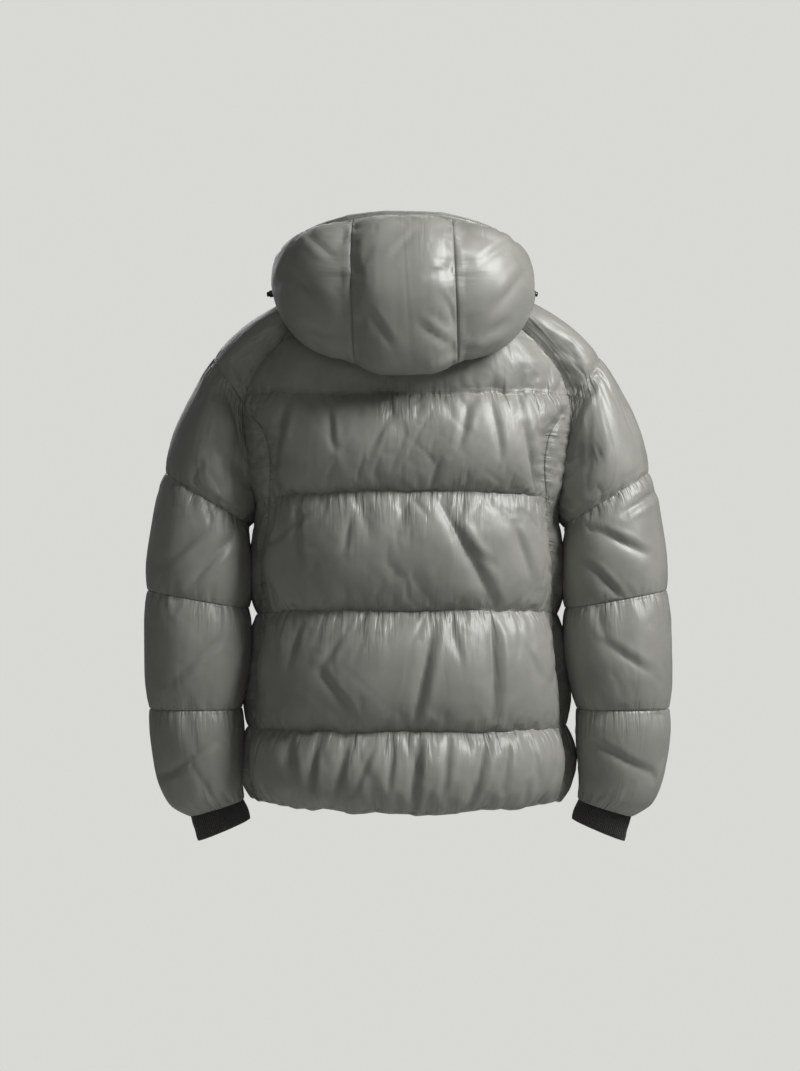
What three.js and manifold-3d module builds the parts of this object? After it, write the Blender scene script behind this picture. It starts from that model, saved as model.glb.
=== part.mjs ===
// A hip-length padded jacket, worn closed, with raglan sleeves and its hood down on the back.
// Millimetres, +Z up, the front faces -Y, the wearer's left is +X. The origin is between the
// shoulders at the base of the neck. Every panel is a padded wall: plain inside, quilted outside.
import * as THREE from 'three';
import Module from 'manifold-3d';
import { mergeVertices } from 'three/addons/utils/BufferGeometryUtils.js';

// Driving sizes
const seamGap = 0.3; // between two panels at a seam
const seamWall = 3; // both cloths and the flattened padding, at a stitched line
const hemWall = 6; // the turned-in hem
const hemReach = 90; // the wall grows to it over this height
const squareness = 0.072; // how far a body section fills out its corners
const bladesRise = 15; // the middle of the quilting line over the shoulder blades rises this far
const waistRise = 8; // and that of the line at the waist
const riseReach = 75; // the rise fades out over this many degrees
const riseRound = 2.5; // above 2, it falls late
const hemLift = 11; // the hem is higher at the sides
const neckFrontHigh = -10; // the neckline where it leaves the sleeve
const neckFrontLow = -45; // and at the zip
const neckBlendTop = -75;
const neckRise = 1; // the hood stands this far above the neck edge

const puffBack = 24; // height of a quilted band above its lines, at the middle of the back
const puffYoke = 0.7; // share of it above the yoke line
const puffSide = 8; // the same under the arm
const puffReach = 42; // how far from an upright seam a band reaches its full height
const puffRound = 0.6; // below 1, a band swells early from its line and has a broad crown
const zipPress = 1.3; // the zip presses the padding over a shorter way than a seam
const neckReach = 75; // the padding reaches its full height this far below the neck seam
const foldEnd = 0.12; // share of a fold's half wave left out at each end

const puffSleeve = 12; // height of the sleeve's bands, on the back and front of the arm
const puffSleeveOutside = 0.5; // share of it along the outside of the arm
const puffSleeveInside = 0.25; // and on the side that faces the body
const puffUnderHood = 0.15; // share of it left under the hood
const hoodShadeRows = 5; // rows of the sleeve that the hood presses
const armReach = 66; // puffReach from the sleeve seam, where the padding is pressed flat
const armpitOut = 0.4; // how far the sleeve's gap at the armpit leans outwards
const armpitFlat = 0.28; // how slowly the side panel's padding rises away from the armhole
const armpitTurn = 24; // the side panel's wall turns to the seam's direction over this distance
const tipShare = 0.08; // the side panel's points end this share of a level below their corner
const sleeveColumnWidth = 15;
const armpitStep = 22; // height of a row of the sleeve below the underarm

const hoodLean = 6; // the hood lies this far towards the wearer's left
const leanStages = { none: 2, full: 5 };
const leanHeadings = { full: 80, none: 130 };
const puffHood = 9;
const puffHoodShoulder = 0.35; // share of it over the shoulders
const hoodShoulderReach = 40; // degrees to each side of them
const hoodReach = 34;
const hoodNeckReach = 48;
const hoodRowStep = 16; // height of a row of the hood
const hoodColumnStep = 18;
const rimHeight = 12; // the casing round the hood's opening
const rimWall = 9;
const rimSection = [
  { out: rimWall * 0.8, up: rimHeight * 0.38 },
  { out: rimWall * 0.6, up: rimHeight * 0.8 },
  { out: 1, up: rimHeight },
  { out: -rimWall * 0.25, up: rimHeight / 2 },
];
const lock = { heading: 84, radius: 4.5, taper: 0.8, length: 10, out: 2, sides: 12 };

const backColumns = 24;
const frontColumns = 11;
const sideColumns = 5;
const sleeveColumns = 18;
const hoodRows = 13;
const hoodCentreColumns = 8;

const cuffWall = 3;
const cuffRibs = 32;
const cuffRibHeight = 1;

const zipHalfWidth = 7; // visible width of one zip tape
const zipTapeWall = 1.6;
const tapeSink = 0.8; // how far the tape lies above the panels' inside
const tapeTop = 9; // the tape runs up this far past the rim seam
const sliderFromTop = 4; // rows of the zip above the slider
const sliderBody = { width: 9, height: 12, thick: 4.5 };
const bridge = { width: 2.4, leg: 1.2, rise: 4.2, strap: 1.4, sink: 1 };
const pinUp = 2.5; // the pull tab's bar, above the slider's middle
const tabBar = 1.3; // half the thickness of that bar
const tabPlate = { width: 7.4, from: 13, to: 37, thick: 1.8 };
const tabArm = { from: 1.8, to: 3.7, into: 1 };
const zipBoxSize = { width: 9, height: 12, thick: 3.4, row: 1 };

const shell = { color: 0x8f8c85, roughness: 0.42, metalness: 0 };
const ribKnit = { color: 0x2c2a26, roughness: 0.95, metalness: 0 };
const zipCloth = { color: 0x4a4843, roughness: 0.85, metalness: 0 };
const zipMetal = { color: 0x55534f, roughness: 0.35, metalness: 1 };
const blackPlastic = { color: 0x111111, roughness: 0.4, metalness: 0 };

// The body's inside at each height: half width, depth behind and before its middle line, and
// that line's place. Above the armhole the section runs on past the cut edge of the panel.
const bodySections = [
  { z: 36, width: 80, back: 62, front: 30, y: 0 },
  { z: 8, width: 118, back: 84, front: 50, y: 0 },
  { z: -20, width: 150, back: 103, front: 66, y: 0 },
  { z: -48, width: 178, back: 118, front: 80, y: 0 },
  { z: -75, width: 198, back: 128, front: 94, y: -1 },
  { z: -100, width: 210, back: 136, front: 106, y: -2 },
  { z: -135, width: 217, back: 142, front: 119, y: -4 },
  { z: -165, width: 218, back: 146, front: 127, y: -6 },
  { z: -200, width: 212, back: 149, front: 132, y: -8 },
  { z: -232, width: 203, back: 151, front: 134, y: -10 },
  { z: -255, width: 192, back: 152, front: 134, y: -12 },
  { z: -272, width: 187, back: 153, front: 133, y: -13 },
  { z: -297, width: 186, back: 154, front: 130, y: -15 },
  { z: -340, width: 186, back: 155, front: 125, y: -18 },
  { z: -392, width: 184, back: 156, front: 120, y: -20 },
  { z: -462, width: 187, back: 159, front: 119, y: -20 },
  { z: -531, width: 195, back: 161, front: 122, y: -20 },
  { z: -590, width: 194, back: 160, front: 122, y: -20 },
  { z: -630, width: 186, back: 156, front: 118, y: -20 },
];

// Rows of points down the body. line names a quilting line or an edge of the panel.
const levels = [
  { z: 36, line: 'neck' }, { z: 8 }, { z: -20 }, { z: -48 }, { z: -75 }, { z: -100 },
  { z: -122, line: 'yoke' }, { z: -135 }, { z: -165 }, { z: -200 }, { z: -232 },
  { z: -255, line: 'blades' }, { z: -268 }, { z: -272 }, { z: -297 }, { z: -325 }, { z: -355 },
  { z: -378 }, { z: -392, line: 'waist' }, { z: -408 }, { z: -434 }, { z: -462 }, { z: -490 },
  { z: -514 }, { z: -531, line: 'seat' }, { z: -546 }, { z: -570 }, { z: -596 }, { z: -616 },
  { z: -630, line: 'hem' },
];
const bodyLines = levels.filter((row) => row.line).map((row) => ({ at: -row.z }));
const lineZ = Object.fromEntries(levels.filter((row) => row.line).map((row) => [row.line, row.z]));
const raglanEnd = 7; // level where the raglan seam meets the side panel
const underarm = 13; // level of the armhole's lowest point
const hemLevel = levels.length - 1;
const insideRowsTop = [0, 3, 7];
const insideRowsBody = [8, 9, 10, 11, 12, 13, 16, 18, 21, 24, 27, 29];
const insideRows = [...insideRowsTop, ...insideRowsBody];

// Angle of the sleeve seam from the middle of the back and from the middle of the front.
const armSeam = [
  { z: 36, back: 35, front: 30 },
  { z: 8, back: 40, front: 35 },
  { z: -20, back: 45, front: 40 },
  { z: -48, back: 49.5, front: 45 },
  { z: -75, back: 53.5, front: 50 },
  { z: -100, back: 57.5, front: 55 },
  { z: -122, back: 60, front: 58 },
  { z: -135, back: 60.5, front: 59.5 },
  { z: -165, back: 60, front: 60 },
  { z: -200, back: 60, front: 61 },
  { z: -232, back: 63, front: 64 },
  { z: -255, back: 71, front: 71 },
  { z: -268, back: 81, front: 81 },
  { z: -272, back: 90, front: 90 },
];

// Angle of the seam between the back, or the front, and the side panel.
const sideSeam = [
  { z: -135, back: 60.5, front: 59.5 },
  { z: -165, back: 49, front: 52 },
  { z: -200, back: 46.5, front: 49 },
  { z: -232, back: 48.5, front: 50 },
  { z: -255, back: 53, front: 54 },
  { z: -272, back: 57.5, front: 58 },
  { z: -325, back: 63, front: 63 },
  { z: -392, back: 65, front: 65 },
  { z: -531, back: 68, front: 68 },
  { z: -630, back: 66, front: 66 },
];

// The sleeve's inside, ring by ring: its outermost and innermost points, half its depth, its
// middle line, the angle where an open ring is cut at the body seam, and how soon its shape is
// its own again on leaving that seam.
const sleeveRings = [
  { row: 0, outX: 80, outZ: 15, inX: 20, inZ: 10, depth: 58, y: 0, cut: 98, pull: 2 },
  { row: 1, outX: 104, outZ: 6, inX: 40, inZ: -14, depth: 72, y: 3, cut: 98, pull: 2 },
  { row: 2, outX: 130, outZ: -4, inX: 65, inZ: -38, depth: 83, y: 5, cut: 99, pull: 2 },
  { row: 3, outX: 157, outZ: -18, inX: 92, inZ: -66, depth: 90, y: 6, cut: 100, pull: 2 },
  { row: 4, outX: 181, outZ: -33, inX: 118, inZ: -95, depth: 93, y: 6, cut: 101, pull: 2 },
  { row: 5, outX: 203, outZ: -49, inX: 140, inZ: -122, depth: 93, y: 5, cut: 102, pull: 2 },
  { row: 6, outX: 222, outZ: -63, inX: 152, inZ: -146, depth: 92, y: 4, cut: 104, pull: 2 },
  { row: 7, outX: 233, outZ: -75, inX: 158, inZ: -160, depth: 91, y: 4, cut: 106, pull: 2 },
  { row: 8, outX: 249, outZ: -103, inX: 165, inZ: -192, depth: 89, y: 4, cut: 112, pull: 2 },
  { row: 9, outX: 266, outZ: -137, inX: 170, inZ: -225, depth: 87, y: 4, cut: 119, pull: 3 },
  { row: 10, outX: 279, outZ: -168, inX: 180, inZ: -250, depth: 84, y: 4, cut: 132, pull: 4 },
  { row: 11, outX: 286, outZ: -190, inX: 190, inZ: -265, depth: 82, y: 4, cut: 150, pull: 7 },
  { row: 12, outX: 291, outZ: -205, inX: 196, inZ: -273, depth: 80, y: 4, cut: 166, pull: 11 },
  { row: 13, outX: 296, outZ: -217, inX: 199, inZ: -279, depth: 79, y: 4, cut: 180, pull: 14 },
  { row: 14, outX: 299, outZ: -234, inX: 203, inZ: -289, depth: 77, y: 6, cut: 180, pull: 14 },
  { row: 16, outX: 305, outZ: -276, inX: 206, inZ: -318, depth: 74, y: 10, cut: 180, pull: 14 },
  { row: 20, outX: 317, outZ: -362, inX: 202, inZ: -384, depth: 70, y: 16, cut: 180, pull: 14 },
  { row: 23, outX: 315, outZ: -434, inX: 206, inZ: -446, depth: 67, y: 18, cut: 180, pull: 14 },
  { row: 26, outX: 314, outZ: -508, inX: 211, inZ: -508, depth: 63, y: 18, cut: 180, pull: 14 },
  { row: 28, outX: 304, outZ: -566, inX: 215, inZ: -558, depth: 58, y: 16, cut: 180, pull: 14 },
  { row: 30, outX: 289, outZ: -619, inX: 215, inZ: -604, depth: 50, y: 12, cut: 180, pull: 14 },
  { row: 31, outX: 266, outZ: -641, inX: 208, inZ: -624, depth: 42, y: 10, cut: 180, pull: 14 },
];
const sleeveLines = [0, 7, 13, 20, 26, 31];
const sleeveLastRow = 31;
const insideRowsSleeve = [0, 3, 7, 8, 9, 10, 11, 12, 13, 15, 17, 20, 23, 26, 29, 31];
const rightSleeveSwing = 10; // the right cuff hangs this much further out

// The cuff below its seam in the sleeve, down to its open edge.
const cuffRings = [
  { outX: 262, outZ: -655, inX: 203, inZ: -634, depth: 43, y: 9 },
  { outX: 258, outZ: -673, inX: 199, inZ: -648, depth: 41, y: 7 },
];

// The hood's inside along each heading from the neck, 0 at the middle of the back and 180 at the
// front: how far out and how high it crests, turns up, bulges and ends at the rim seam.
const hoodSections = [
  { heading: 0, crest: 84, crestZ: 58, slope: 137, slopeZ: -8, fold: 186, foldZ: -90,
    bulge: 224, bulgeZ: -12, brow: 205, browZ: 62, rim: 154, rimZ: 88 },
  { heading: 18, crest: 86, crestZ: 57, slope: 139, slopeZ: -6, fold: 188, foldZ: -86,
    bulge: 223, bulgeZ: -8, brow: 205, browZ: 60, rim: 157, rimZ: 86 },
  { heading: 36, crest: 90, crestZ: 54, slope: 144, slopeZ: 6, fold: 188, foldZ: -58,
    bulge: 214, bulgeZ: 2, brow: 198, browZ: 54, rim: 165, rimZ: 75 },
  { heading: 52, crest: 95, crestZ: 49, slope: 140, slopeZ: 27, fold: 175, foldZ: -18,
    bulge: 186, bulgeZ: 10, brow: 181, browZ: 40, rim: 167, rimZ: 57 },
  { heading: 64, crest: 97, crestZ: 46, slope: 130, slopeZ: 36, fold: 156, foldZ: 12,
    bulge: 161, bulgeZ: 12, brow: 162, browZ: 24, rim: 159, rimZ: 36 },
  { heading: 78, crest: 97, crestZ: 43, slope: 122, slopeZ: 38, fold: 138, foldZ: 24,
    bulge: 143, bulgeZ: 15, brow: 146, browZ: 13, rim: 149, rimZ: 14 },
  { heading: 94, crest: 97, crestZ: 40, slope: 116, slopeZ: 38, fold: 128, foldZ: 30,
    bulge: 136, bulgeZ: 21, brow: 141, browZ: 15, rim: 146, rimZ: 13 },
  { heading: 112, crest: 96, crestZ: 31, slope: 109, slopeZ: 34, fold: 118, foldZ: 32,
    bulge: 125, bulgeZ: 28, brow: 131, browZ: 25, rim: 137, rimZ: 24 },
  { heading: 134, crest: 91, crestZ: 12, slope: 98, slopeZ: 19, fold: 106, foldZ: 24,
    bulge: 113, bulgeZ: 27, brow: 120, browZ: 29, rim: 126, rimZ: 31 },
  { heading: 156, crest: 85, crestZ: -13, slope: 92, slopeZ: -1, fold: 99, foldZ: 10,
    bulge: 106, bulgeZ: 20, brow: 112, browZ: 29, rim: 117, rimZ: 36 },
  { heading: 180, crest: 81, crestZ: -26, slope: 88, slopeZ: -11, fold: 95, foldZ: 3,
    bulge: 102, bulgeZ: 16, brow: 108, browZ: 28, rim: 113, rimZ: 38 },
];
// Stages of the hood from the neck seam to the rim seam, and the half width of the centre panel.
const hoodStages = [
  { at: 0, key: 'neck', centre: 28 },
  { at: 1, key: 'crest', centre: 36 },
  { at: 2, key: 'slope', centre: 52 },
  { at: 3, key: 'fold', centre: 60 },
  { at: 4, key: 'bulge', centre: 61 },
  { at: 5, key: 'brow', centre: 60 },
  { at: 6, key: 'rim', centre: 59 },
];
const insideRowsHood = [0, 2, 4, 6, 7, 9, 11, 13];

// The largest folds of the body, as troughs: x and z of both ends, width and depth.
const backFolds = [
  { x: -37, z: -252, toX: -102, toZ: -380, width: 26, depth: 9 },
  { x: -132, z: -165, toX: -152, toZ: -240, width: 24, depth: 8 },
  { x: 140, z: -130, toX: 158, toZ: -215, width: 24, depth: 8 },
  { x: -30, z: -400, toX: -8, toZ: -520, width: 26, depth: 8 },
  { x: -14, z: -536, toX: -5, toZ: -610, width: 24, depth: 7 },
  { x: -96, z: -392, toX: -98, toZ: -515, width: 26, depth: 8 },
  { x: -92, z: -536, toX: -71, toZ: -615, width: 24, depth: 7 },
  { x: 67, z: -536, toX: 85, toZ: -616, width: 24, depth: 6 },
  { x: 140, z: -534, toX: 121, toZ: -610, width: 22, depth: 5 },
];
const frontFolds = [
  { x: 40, z: -262, toX: 88, toZ: -372, width: 26, depth: 8 },
  { x: -52, z: -270, toX: -34, toZ: -340, width: 24, depth: 6 },
  { x: 112, z: -400, toX: 96, toZ: -500, width: 26, depth: 7 },
  { x: -70, z: -404, toX: -104, toZ: -512, width: 26, depth: 8 },
  { x: -112, z: -540, toX: -96, toZ: -612, width: 22, depth: 5 },
  { x: 62, z: -538, toX: 78, toZ: -610, width: 22, depth: 6 },
];

const degrees = Math.PI / 180;
const smooth = (t) => t * t * (3 - 2 * t);
const clamp = (t, low = 0, high = 1) => Math.min(high, Math.max(low, t));
const mix = (a, b, t) => a + (b - a) * t;

// Reads one named column of a table, on a smooth curve through its rows.
function read(table, column, at, key = 'z') {
  const rising = table[1][key] > table[0][key];
  let i = 0;
  while (i < table.length - 2 && (rising ? table[i + 1][key] < at : table[i + 1][key] > at)) i += 1;
  const slope = (j) => {
    const a = table[Math.max(j - 1, 0)];
    const b = table[Math.min(j + 1, table.length - 1)];
    return (b[column] - a[column]) / (b[key] - a[key]);
  };
  const span = table[i + 1][key] - table[i][key];
  const t = clamp((at - table[i][key]) / span);
  const t2 = t * t;
  const t3 = t2 * t;
  return (2 * t3 - 3 * t2 + 1) * table[i][column] + (t3 - 2 * t2 + t) * span * slope(i)
    + (3 * t2 - 2 * t3) * table[i + 1][column] + (t3 - t2) * span * slope(i + 1);
}

// A point on the body's inside. The angle runs from the middle of the back to that of the front.
function bodyPoint(angle, z, side) {
  const sine = Math.sin(angle * degrees);
  const cosine = Math.cos(angle * degrees);
  const fill = 1 + squareness * (2 * sine * cosine) ** 2;
  const depth = cosine > 0 ? read(bodySections, 'back', z) : read(bodySections, 'front', z);
  return new THREE.Vector3(
    side * read(bodySections, 'width', z) * sine * fill,
    read(bodySections, 'y', z) + depth * cosine * fill,
    z,
  );
}

function bodyNormal(angle, z, side) {
  const step = 0.5;
  const around = bodyPoint(angle + step, z, side).sub(bodyPoint(angle - step, z, side));
  const down = bodyPoint(angle, z - step, side).sub(bodyPoint(angle, z + step, side));
  return around.cross(down).multiplyScalar(side).normalize();
}

// How far the middle of a level rises above its sides.
const middleRises = [
  { z: lineZ.yoke, rise: 0 }, { z: lineZ.blades, rise: bladesRise },
  { z: lineZ.waist, rise: waistRise }, { z: lineZ.seat, rise: 0 }, { z: lineZ.hem, rise: 0 },
];

// Height of a level at an angle. Lines sag towards the sides, and the front's neckline dips.
function levelHeight(level, angle, front) {
  const flat = levels[level].z;
  const across = front ? 180 - angle : angle;
  if (front && flat > neckBlendTop) {
    const neck = mix(neckFrontLow, neckFrontHigh, smooth(clamp(across / armSeam[0].front)));
    const share = (flat - neckBlendTop) / (lineZ.neck - neckBlendTop);
    return mix(neckBlendTop, neck, share);
  }
  const rise = read(middleRises, 'rise', flat) * Math.max(0, 1 - (across / riseReach) ** riseRound);
  const lift = hemLift * clamp((lineZ.seat - flat) / (lineZ.seat - lineZ.hem)) * smooth(across / 90);
  return flat + rise + lift;
}

// How full a band is between its two quilting lines, 0 at a line and 1 at its crown.
function bandFullness(index, lines) {
  let i = 0;
  while (i < lines.length - 2 && lines[i + 1].at <= index) i += 1;
  const t = clamp((index - lines[i].at) / (lines[i + 1].at - lines[i].at));
  return (4 * t * (1 - t)) ** puffRound;
}

// How full the padding is at a distance from an upright seam.
const edgeFullness = (distance, reach) => 1 - (1 - clamp(distance / reach)) ** 2;

function foldDepth(folds, x, z) {
  let depth = 0;
  for (const fold of folds) {
    const along = new THREE.Vector2(fold.toX - fold.x, fold.toZ - fold.z);
    const from = new THREE.Vector2(x - fold.x, z - fold.z);
    const t = clamp(from.dot(along) / along.lengthSq());
    const away = from.addScaledVector(along, -t).length();
    const taper = Math.sin(Math.PI * mix(foldEnd, 1 - foldEnd, t));
    depth = Math.max(depth, fold.depth * taper * Math.exp(-((away / (fold.width / 2)) ** 2)));
  }
  return depth;
}

function bodyThickness(point, flatZ, angle, fromSeam, front) {
  const share = Math.cos(angle * degrees) ** 2;
  const crown = mix(puffSide, puffBack, share) * (flatZ > lineZ.yoke ? puffYoke : 1);
  const underHood = smooth(clamp((lineZ.neck - flatZ) / neckReach));
  const full = bandFullness(-flatZ, bodyLines) * edgeFullness(fromSeam, puffReach) * underHood;
  const wall = mix(seamWall, hemWall, smooth(clamp((lineZ.seat - flatZ) / hemReach)));
  const trough = foldDepth(front ? frontFolds : backFolds, point.x, point.z);
  return wall + Math.max(0, crown * full - trough * Math.min(1, full * 2));
}

// One closed mesh from an inner and an outer grid of points. The inside uses only some rows.
function paddedPanel(inner, outer, insideRows, closedFrom = Infinity) {
  const edges = [0, outer[0].length - 1];
  return solidGeometry(panelFaces(inner, outer, insideRows, closedFrom, edges));
}

// The corners of its triangles. From row closedFrom on, the closing columns have no side wall.
function panelFaces(inner, outer, insideRows, closedFrom, closing) {
  const lastRow = outer.length - 1;
  const lastColumn = outer[0].length - 1;
  const faces = [];
  const quad = (a, b, c, d) => faces.push(a, b, c, a, c, d);
  for (let r = 0; r < lastRow; r += 1) {
    for (let c = 0; c < lastColumn; c += 1) {
      quad(outer[r][c], outer[r + 1][c], outer[r + 1][c + 1], outer[r][c + 1]);
    }
  }
  for (let i = 0; i < insideRows.length - 1; i += 1) {
    const r = insideRows[i];
    const next = insideRows[i + 1];
    for (let c = 0; c < lastColumn; c += 1) {
      quad(inner[r][c], inner[r][c + 1], inner[next][c + 1], inner[next][c]);
    }
    const middle = Math.floor((r + next) / 2);
    for (const [c, turned] of [[0, false], [lastColumn, true]]) {
      if (r >= closedFrom && closing.includes(c)) continue;
      const side = [];
      for (let k = r; k < middle; k += 1) side.push([inner[r][c], outer[k + 1][c], outer[k][c]]);
      side.push([inner[r][c], inner[next][c], outer[middle][c]]);
      for (let k = middle; k < next; k += 1) {
        side.push([inner[next][c], outer[k + 1][c], outer[k][c]]);
      }
      for (const [a, b, d] of side) faces.push(...(turned ? [a, d, b] : [a, b, d]));
    }
  }
  for (let c = 0; c < lastColumn; c += 1) {
    quad(inner[0][c], outer[0][c], outer[0][c + 1], inner[0][c + 1]);
    quad(inner[lastRow][c + 1], outer[lastRow][c + 1], outer[lastRow][c], inner[lastRow][c]);
  }
  return faces;
}

// Merges the corners of loose triangles, leaves out those with no width, and turns them so that
// every face points out.
const sameCorner = 1e-3;
function solidGeometry(loosely) {
  const corners = [];
  for (let i = 0; i < loosely.length; i += 3) {
    const [a, b, c] = loosely.slice(i, i + 3);
    const thin = Math.min(a.distanceTo(b), b.distanceTo(c), c.distanceTo(a)) < sameCorner;
    if (!thin) corners.push(a, b, c);
  }
  let volume = 0;
  for (let i = 0; i < corners.length; i += 3) {
    volume += corners[i].dot(corners[i + 1].clone().cross(corners[i + 2]));
  }
  const ordered = [];
  for (let i = 0; i < corners.length; i += 3) {
    const [a, b, c] = corners.slice(i, i + 3);
    ordered.push(...(volume < 0 ? [a, c, b] : [a, b, c]));
  }
  const loose = new THREE.BufferGeometry().setFromPoints(ordered);
  const merged = mergeVertices(loose, sameCorner);
  merged.computeVertexNormals();
  return merged;
}

const group = new THREE.Group();
function addPiece(name, geometry, look) {
  const mesh = new THREE.Mesh(geometry, new THREE.MeshStandardMaterial(look));
  mesh.name = name;
  group.add(mesh);
  return mesh;
}

// Normals of a grid of points, from its neighbours, pointing away from the inside.
function gridNormals(points, sign, closedFrom = Infinity) {
  const lastRow = points.length - 1;
  const lastColumn = points[0].length - 1;
  return points.map((row, r) => row.map((_, c) => {
    const up = points[Math.max(r - 1, 0)][c];
    const down = points[Math.min(r + 1, lastRow)][c];
    const wrap = r > closedFrom && (c === 0 || c === lastColumn);
    const left = wrap ? row[lastColumn - 1] : row[Math.max(c - 1, 0)];
    const right = wrap ? row[1] : row[Math.min(c + 1, lastColumn)];
    return down.clone().sub(up).cross(right.clone().sub(left)).multiplyScalar(sign).normalize();
  }));
}

function armSeamPoint(level, face, side) {
  const front = face === 'front';
  const angle = read(armSeam, face, levels[level].z);
  const fromBack = front ? 180 - angle : angle;
  return { angle: fromBack, point: bodyPoint(fromBack, levelHeight(level, fromBack, front), side) };
}

// A point on a sleeve or cuff ring, at an angle from its outermost point towards the back.
function ringPoint(ring, angle, side, swing) {
  const cosine = Math.cos(angle * degrees);
  const sine = Math.sin(angle * degrees);
  const fill = 1 + squareness * (2 * sine * cosine) ** 2;
  const reach = (out, into) => (out + into) / 2 + ((out - into) / 2) * cosine * fill;
  return new THREE.Vector3(
    side * (reach(ring.outX, ring.inX) + swing),
    ring.y + ring.depth * sine * fill,
    reach(ring.outZ, ring.inZ),
  );
}

function sleeveRing(row) {
  const columns = ['outX', 'outZ', 'inX', 'inZ', 'depth', 'y', 'cut', 'pull'];
  return Object.fromEntries(columns.map((name) => [name, read(sleeveRings, name, row, 'row')]));
}

// Columns of the sleeve run from its back seam over the shoulder to its front seam.
function sleeveInside(side) {
  const rows = [];
  for (let row = 0; row <= sleeveLastRow; row += 1) {
    const ring = sleeveRing(row);
    const cut = row < underarm ? ring.cut : 180;
    const swing = side < 0 ? rightSleeveSwing * smooth(clamp((row - 20) / 11)) : 0;
    const backMiss = new THREE.Vector3();
    const frontMiss = new THREE.Vector3();
    if (row <= underarm) {
      const onBack = armSeamPoint(row, 'back', side).point;
      const onFront = armSeamPoint(row, 'front', side).point;
      backMiss.subVectors(onBack, ringPoint(ring, cut, side, swing));
      frontMiss.subVectors(onFront, ringPoint(ring, -cut, side, swing));
    }
    const points = [];
    for (let c = 0; c <= sleeveColumns; c += 1) {
      const t = c / sleeveColumns;
      const point = ringPoint(ring, mix(cut, -cut, t), side, swing);
      point.addScaledVector(backMiss, 1 - smooth(clamp(t * ring.pull)));
      point.addScaledVector(frontMiss, 1 - smooth(clamp((1 - t) * ring.pull)));
      points.push(point);
    }
    rows.push(points);
  }
  return rows;
}

// Both panels at the sleeve seam share one direction for their walls, halfway between them.
const sleeves = new Map();
for (const side of [1, -1]) {
  const inside = sleeveInside(side);
  const normals = gridNormals(inside, -side, underarm);
  const seams = { back: [], front: [] };
  for (let level = 0; level <= underarm; level += 1) {
    for (const [face, column] of [['back', 0], ['front', sleeveColumns]]) {
      const { angle, point } = armSeamPoint(level, face, side);
      const direction = bodyNormal(angle, point.z, side).add(normals[level][column]).normalize();
      seams[face].push({ point, direction });
    }
  }
  const armpit = seams.back[underarm].direction.clone().add(seams.front[underarm].direction);
  armpit.normalize();
  seams.back[underarm].direction = armpit;
  seams.front[underarm].direction = armpit;
  sleeves.set(side, { inside, normals, seams });
}

function sleeveFullness(row) {
  return bandFullness(row, sleeveLines.map((at) => ({ at })));
}

// Share of the sleeve's padding at a turn from the outside of the arm, 0, to its inside, 1.
function sleevePuffShare(turn) {
  return turn < 0.5
    ? mix(puffSleeveOutside, 1, smooth(turn * 2))
    : mix(1, puffSleeveInside, smooth(turn * 2 - 1));
}

// Sets a wall's two edges back from the seam line by half the gap, along the given way.
const halfGap = seamGap / 2;

function sleeveGeometry(side) {
  const { inside, normals, seams } = sleeves.get(side);
  const inner = [];
  const outer = [];
  for (let row = 0; row <= sleeveLastRow; row += 1) {
    const innerRow = [];
    const outerRow = [];
    for (let c = 0; c <= sleeveColumns; c += 1) {
      const t = c / sleeveColumns;
      const point = inside[row][c].clone();
      const normal = normals[row][c].clone();
      const open = row <= underarm;
      const beyond = Math.max(0, row - underarm) * armpitStep;
      const fromSeam = Math.hypot(Math.min(c, sleeveColumns - c) * sleeveColumnWidth, beyond);
      const turn = Math.abs(t - 0.5) * (row > underarm ? 2 : 1);
      const shown = mix(puffUnderHood, 1, smooth(clamp((row - 1) / hoodShadeRows)));
      const crown = puffSleeve * sleevePuffShare(turn) * shown;
      let thickness = seamWall + 1 + crown * sleeveFullness(row) * smooth(clamp(fromSeam / armReach));
      if (row === 0) thickness = seamWall;
      if (open && (c === 0 || c === sleeveColumns)) {
        const seam = (c === 0 ? seams.back : seams.front)[row];
        normal.copy(seam.direction);
        thickness = seamWall;
        const inward = row === underarm
          ? new THREE.Vector3(side * armpitOut, 0, 1)
          : inside[row][c === 0 ? 1 : c - 1].clone().sub(point);
        point.addScaledVector(inward.normalize(), halfGap);
      }
      if (row === sleeveLastRow) normal.projectOnPlane(cuffAxis(side)).normalize();
      innerRow.push(point);
      outerRow.push(point.clone().addScaledVector(normal, thickness));
    }
    inner.push(innerRow);
    outer.push(outerRow);
  }
  return { inner, outer };
}

// The way the hand leaves the sleeve's end, square to the cuff seam.
function cuffAxis(side) {
  const end = sleeveRing(sleeveLastRow);
  return new THREE.Vector3(side * (end.outZ - end.inZ), 0, end.inX - end.outX).normalize();
}

for (const [name, side] of [['sleeve_left', 1], ['sleeve_right', -1]]) {
  const { inner, outer } = sleeveGeometry(side);
  Object.assign(sleeves.get(side), { inner, outer });
  addPiece(name, paddedPanel(inner, outer, insideRowsSleeve, underarm), shell);
}

// The seam angle of a body panel at a level: the sleeve seam above, the side panel's seam below.
function panelEdge(level, face) {
  const table = level <= raglanEnd ? armSeam : sideSeam;
  return read(table, face, levels[level].z);
}

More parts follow.
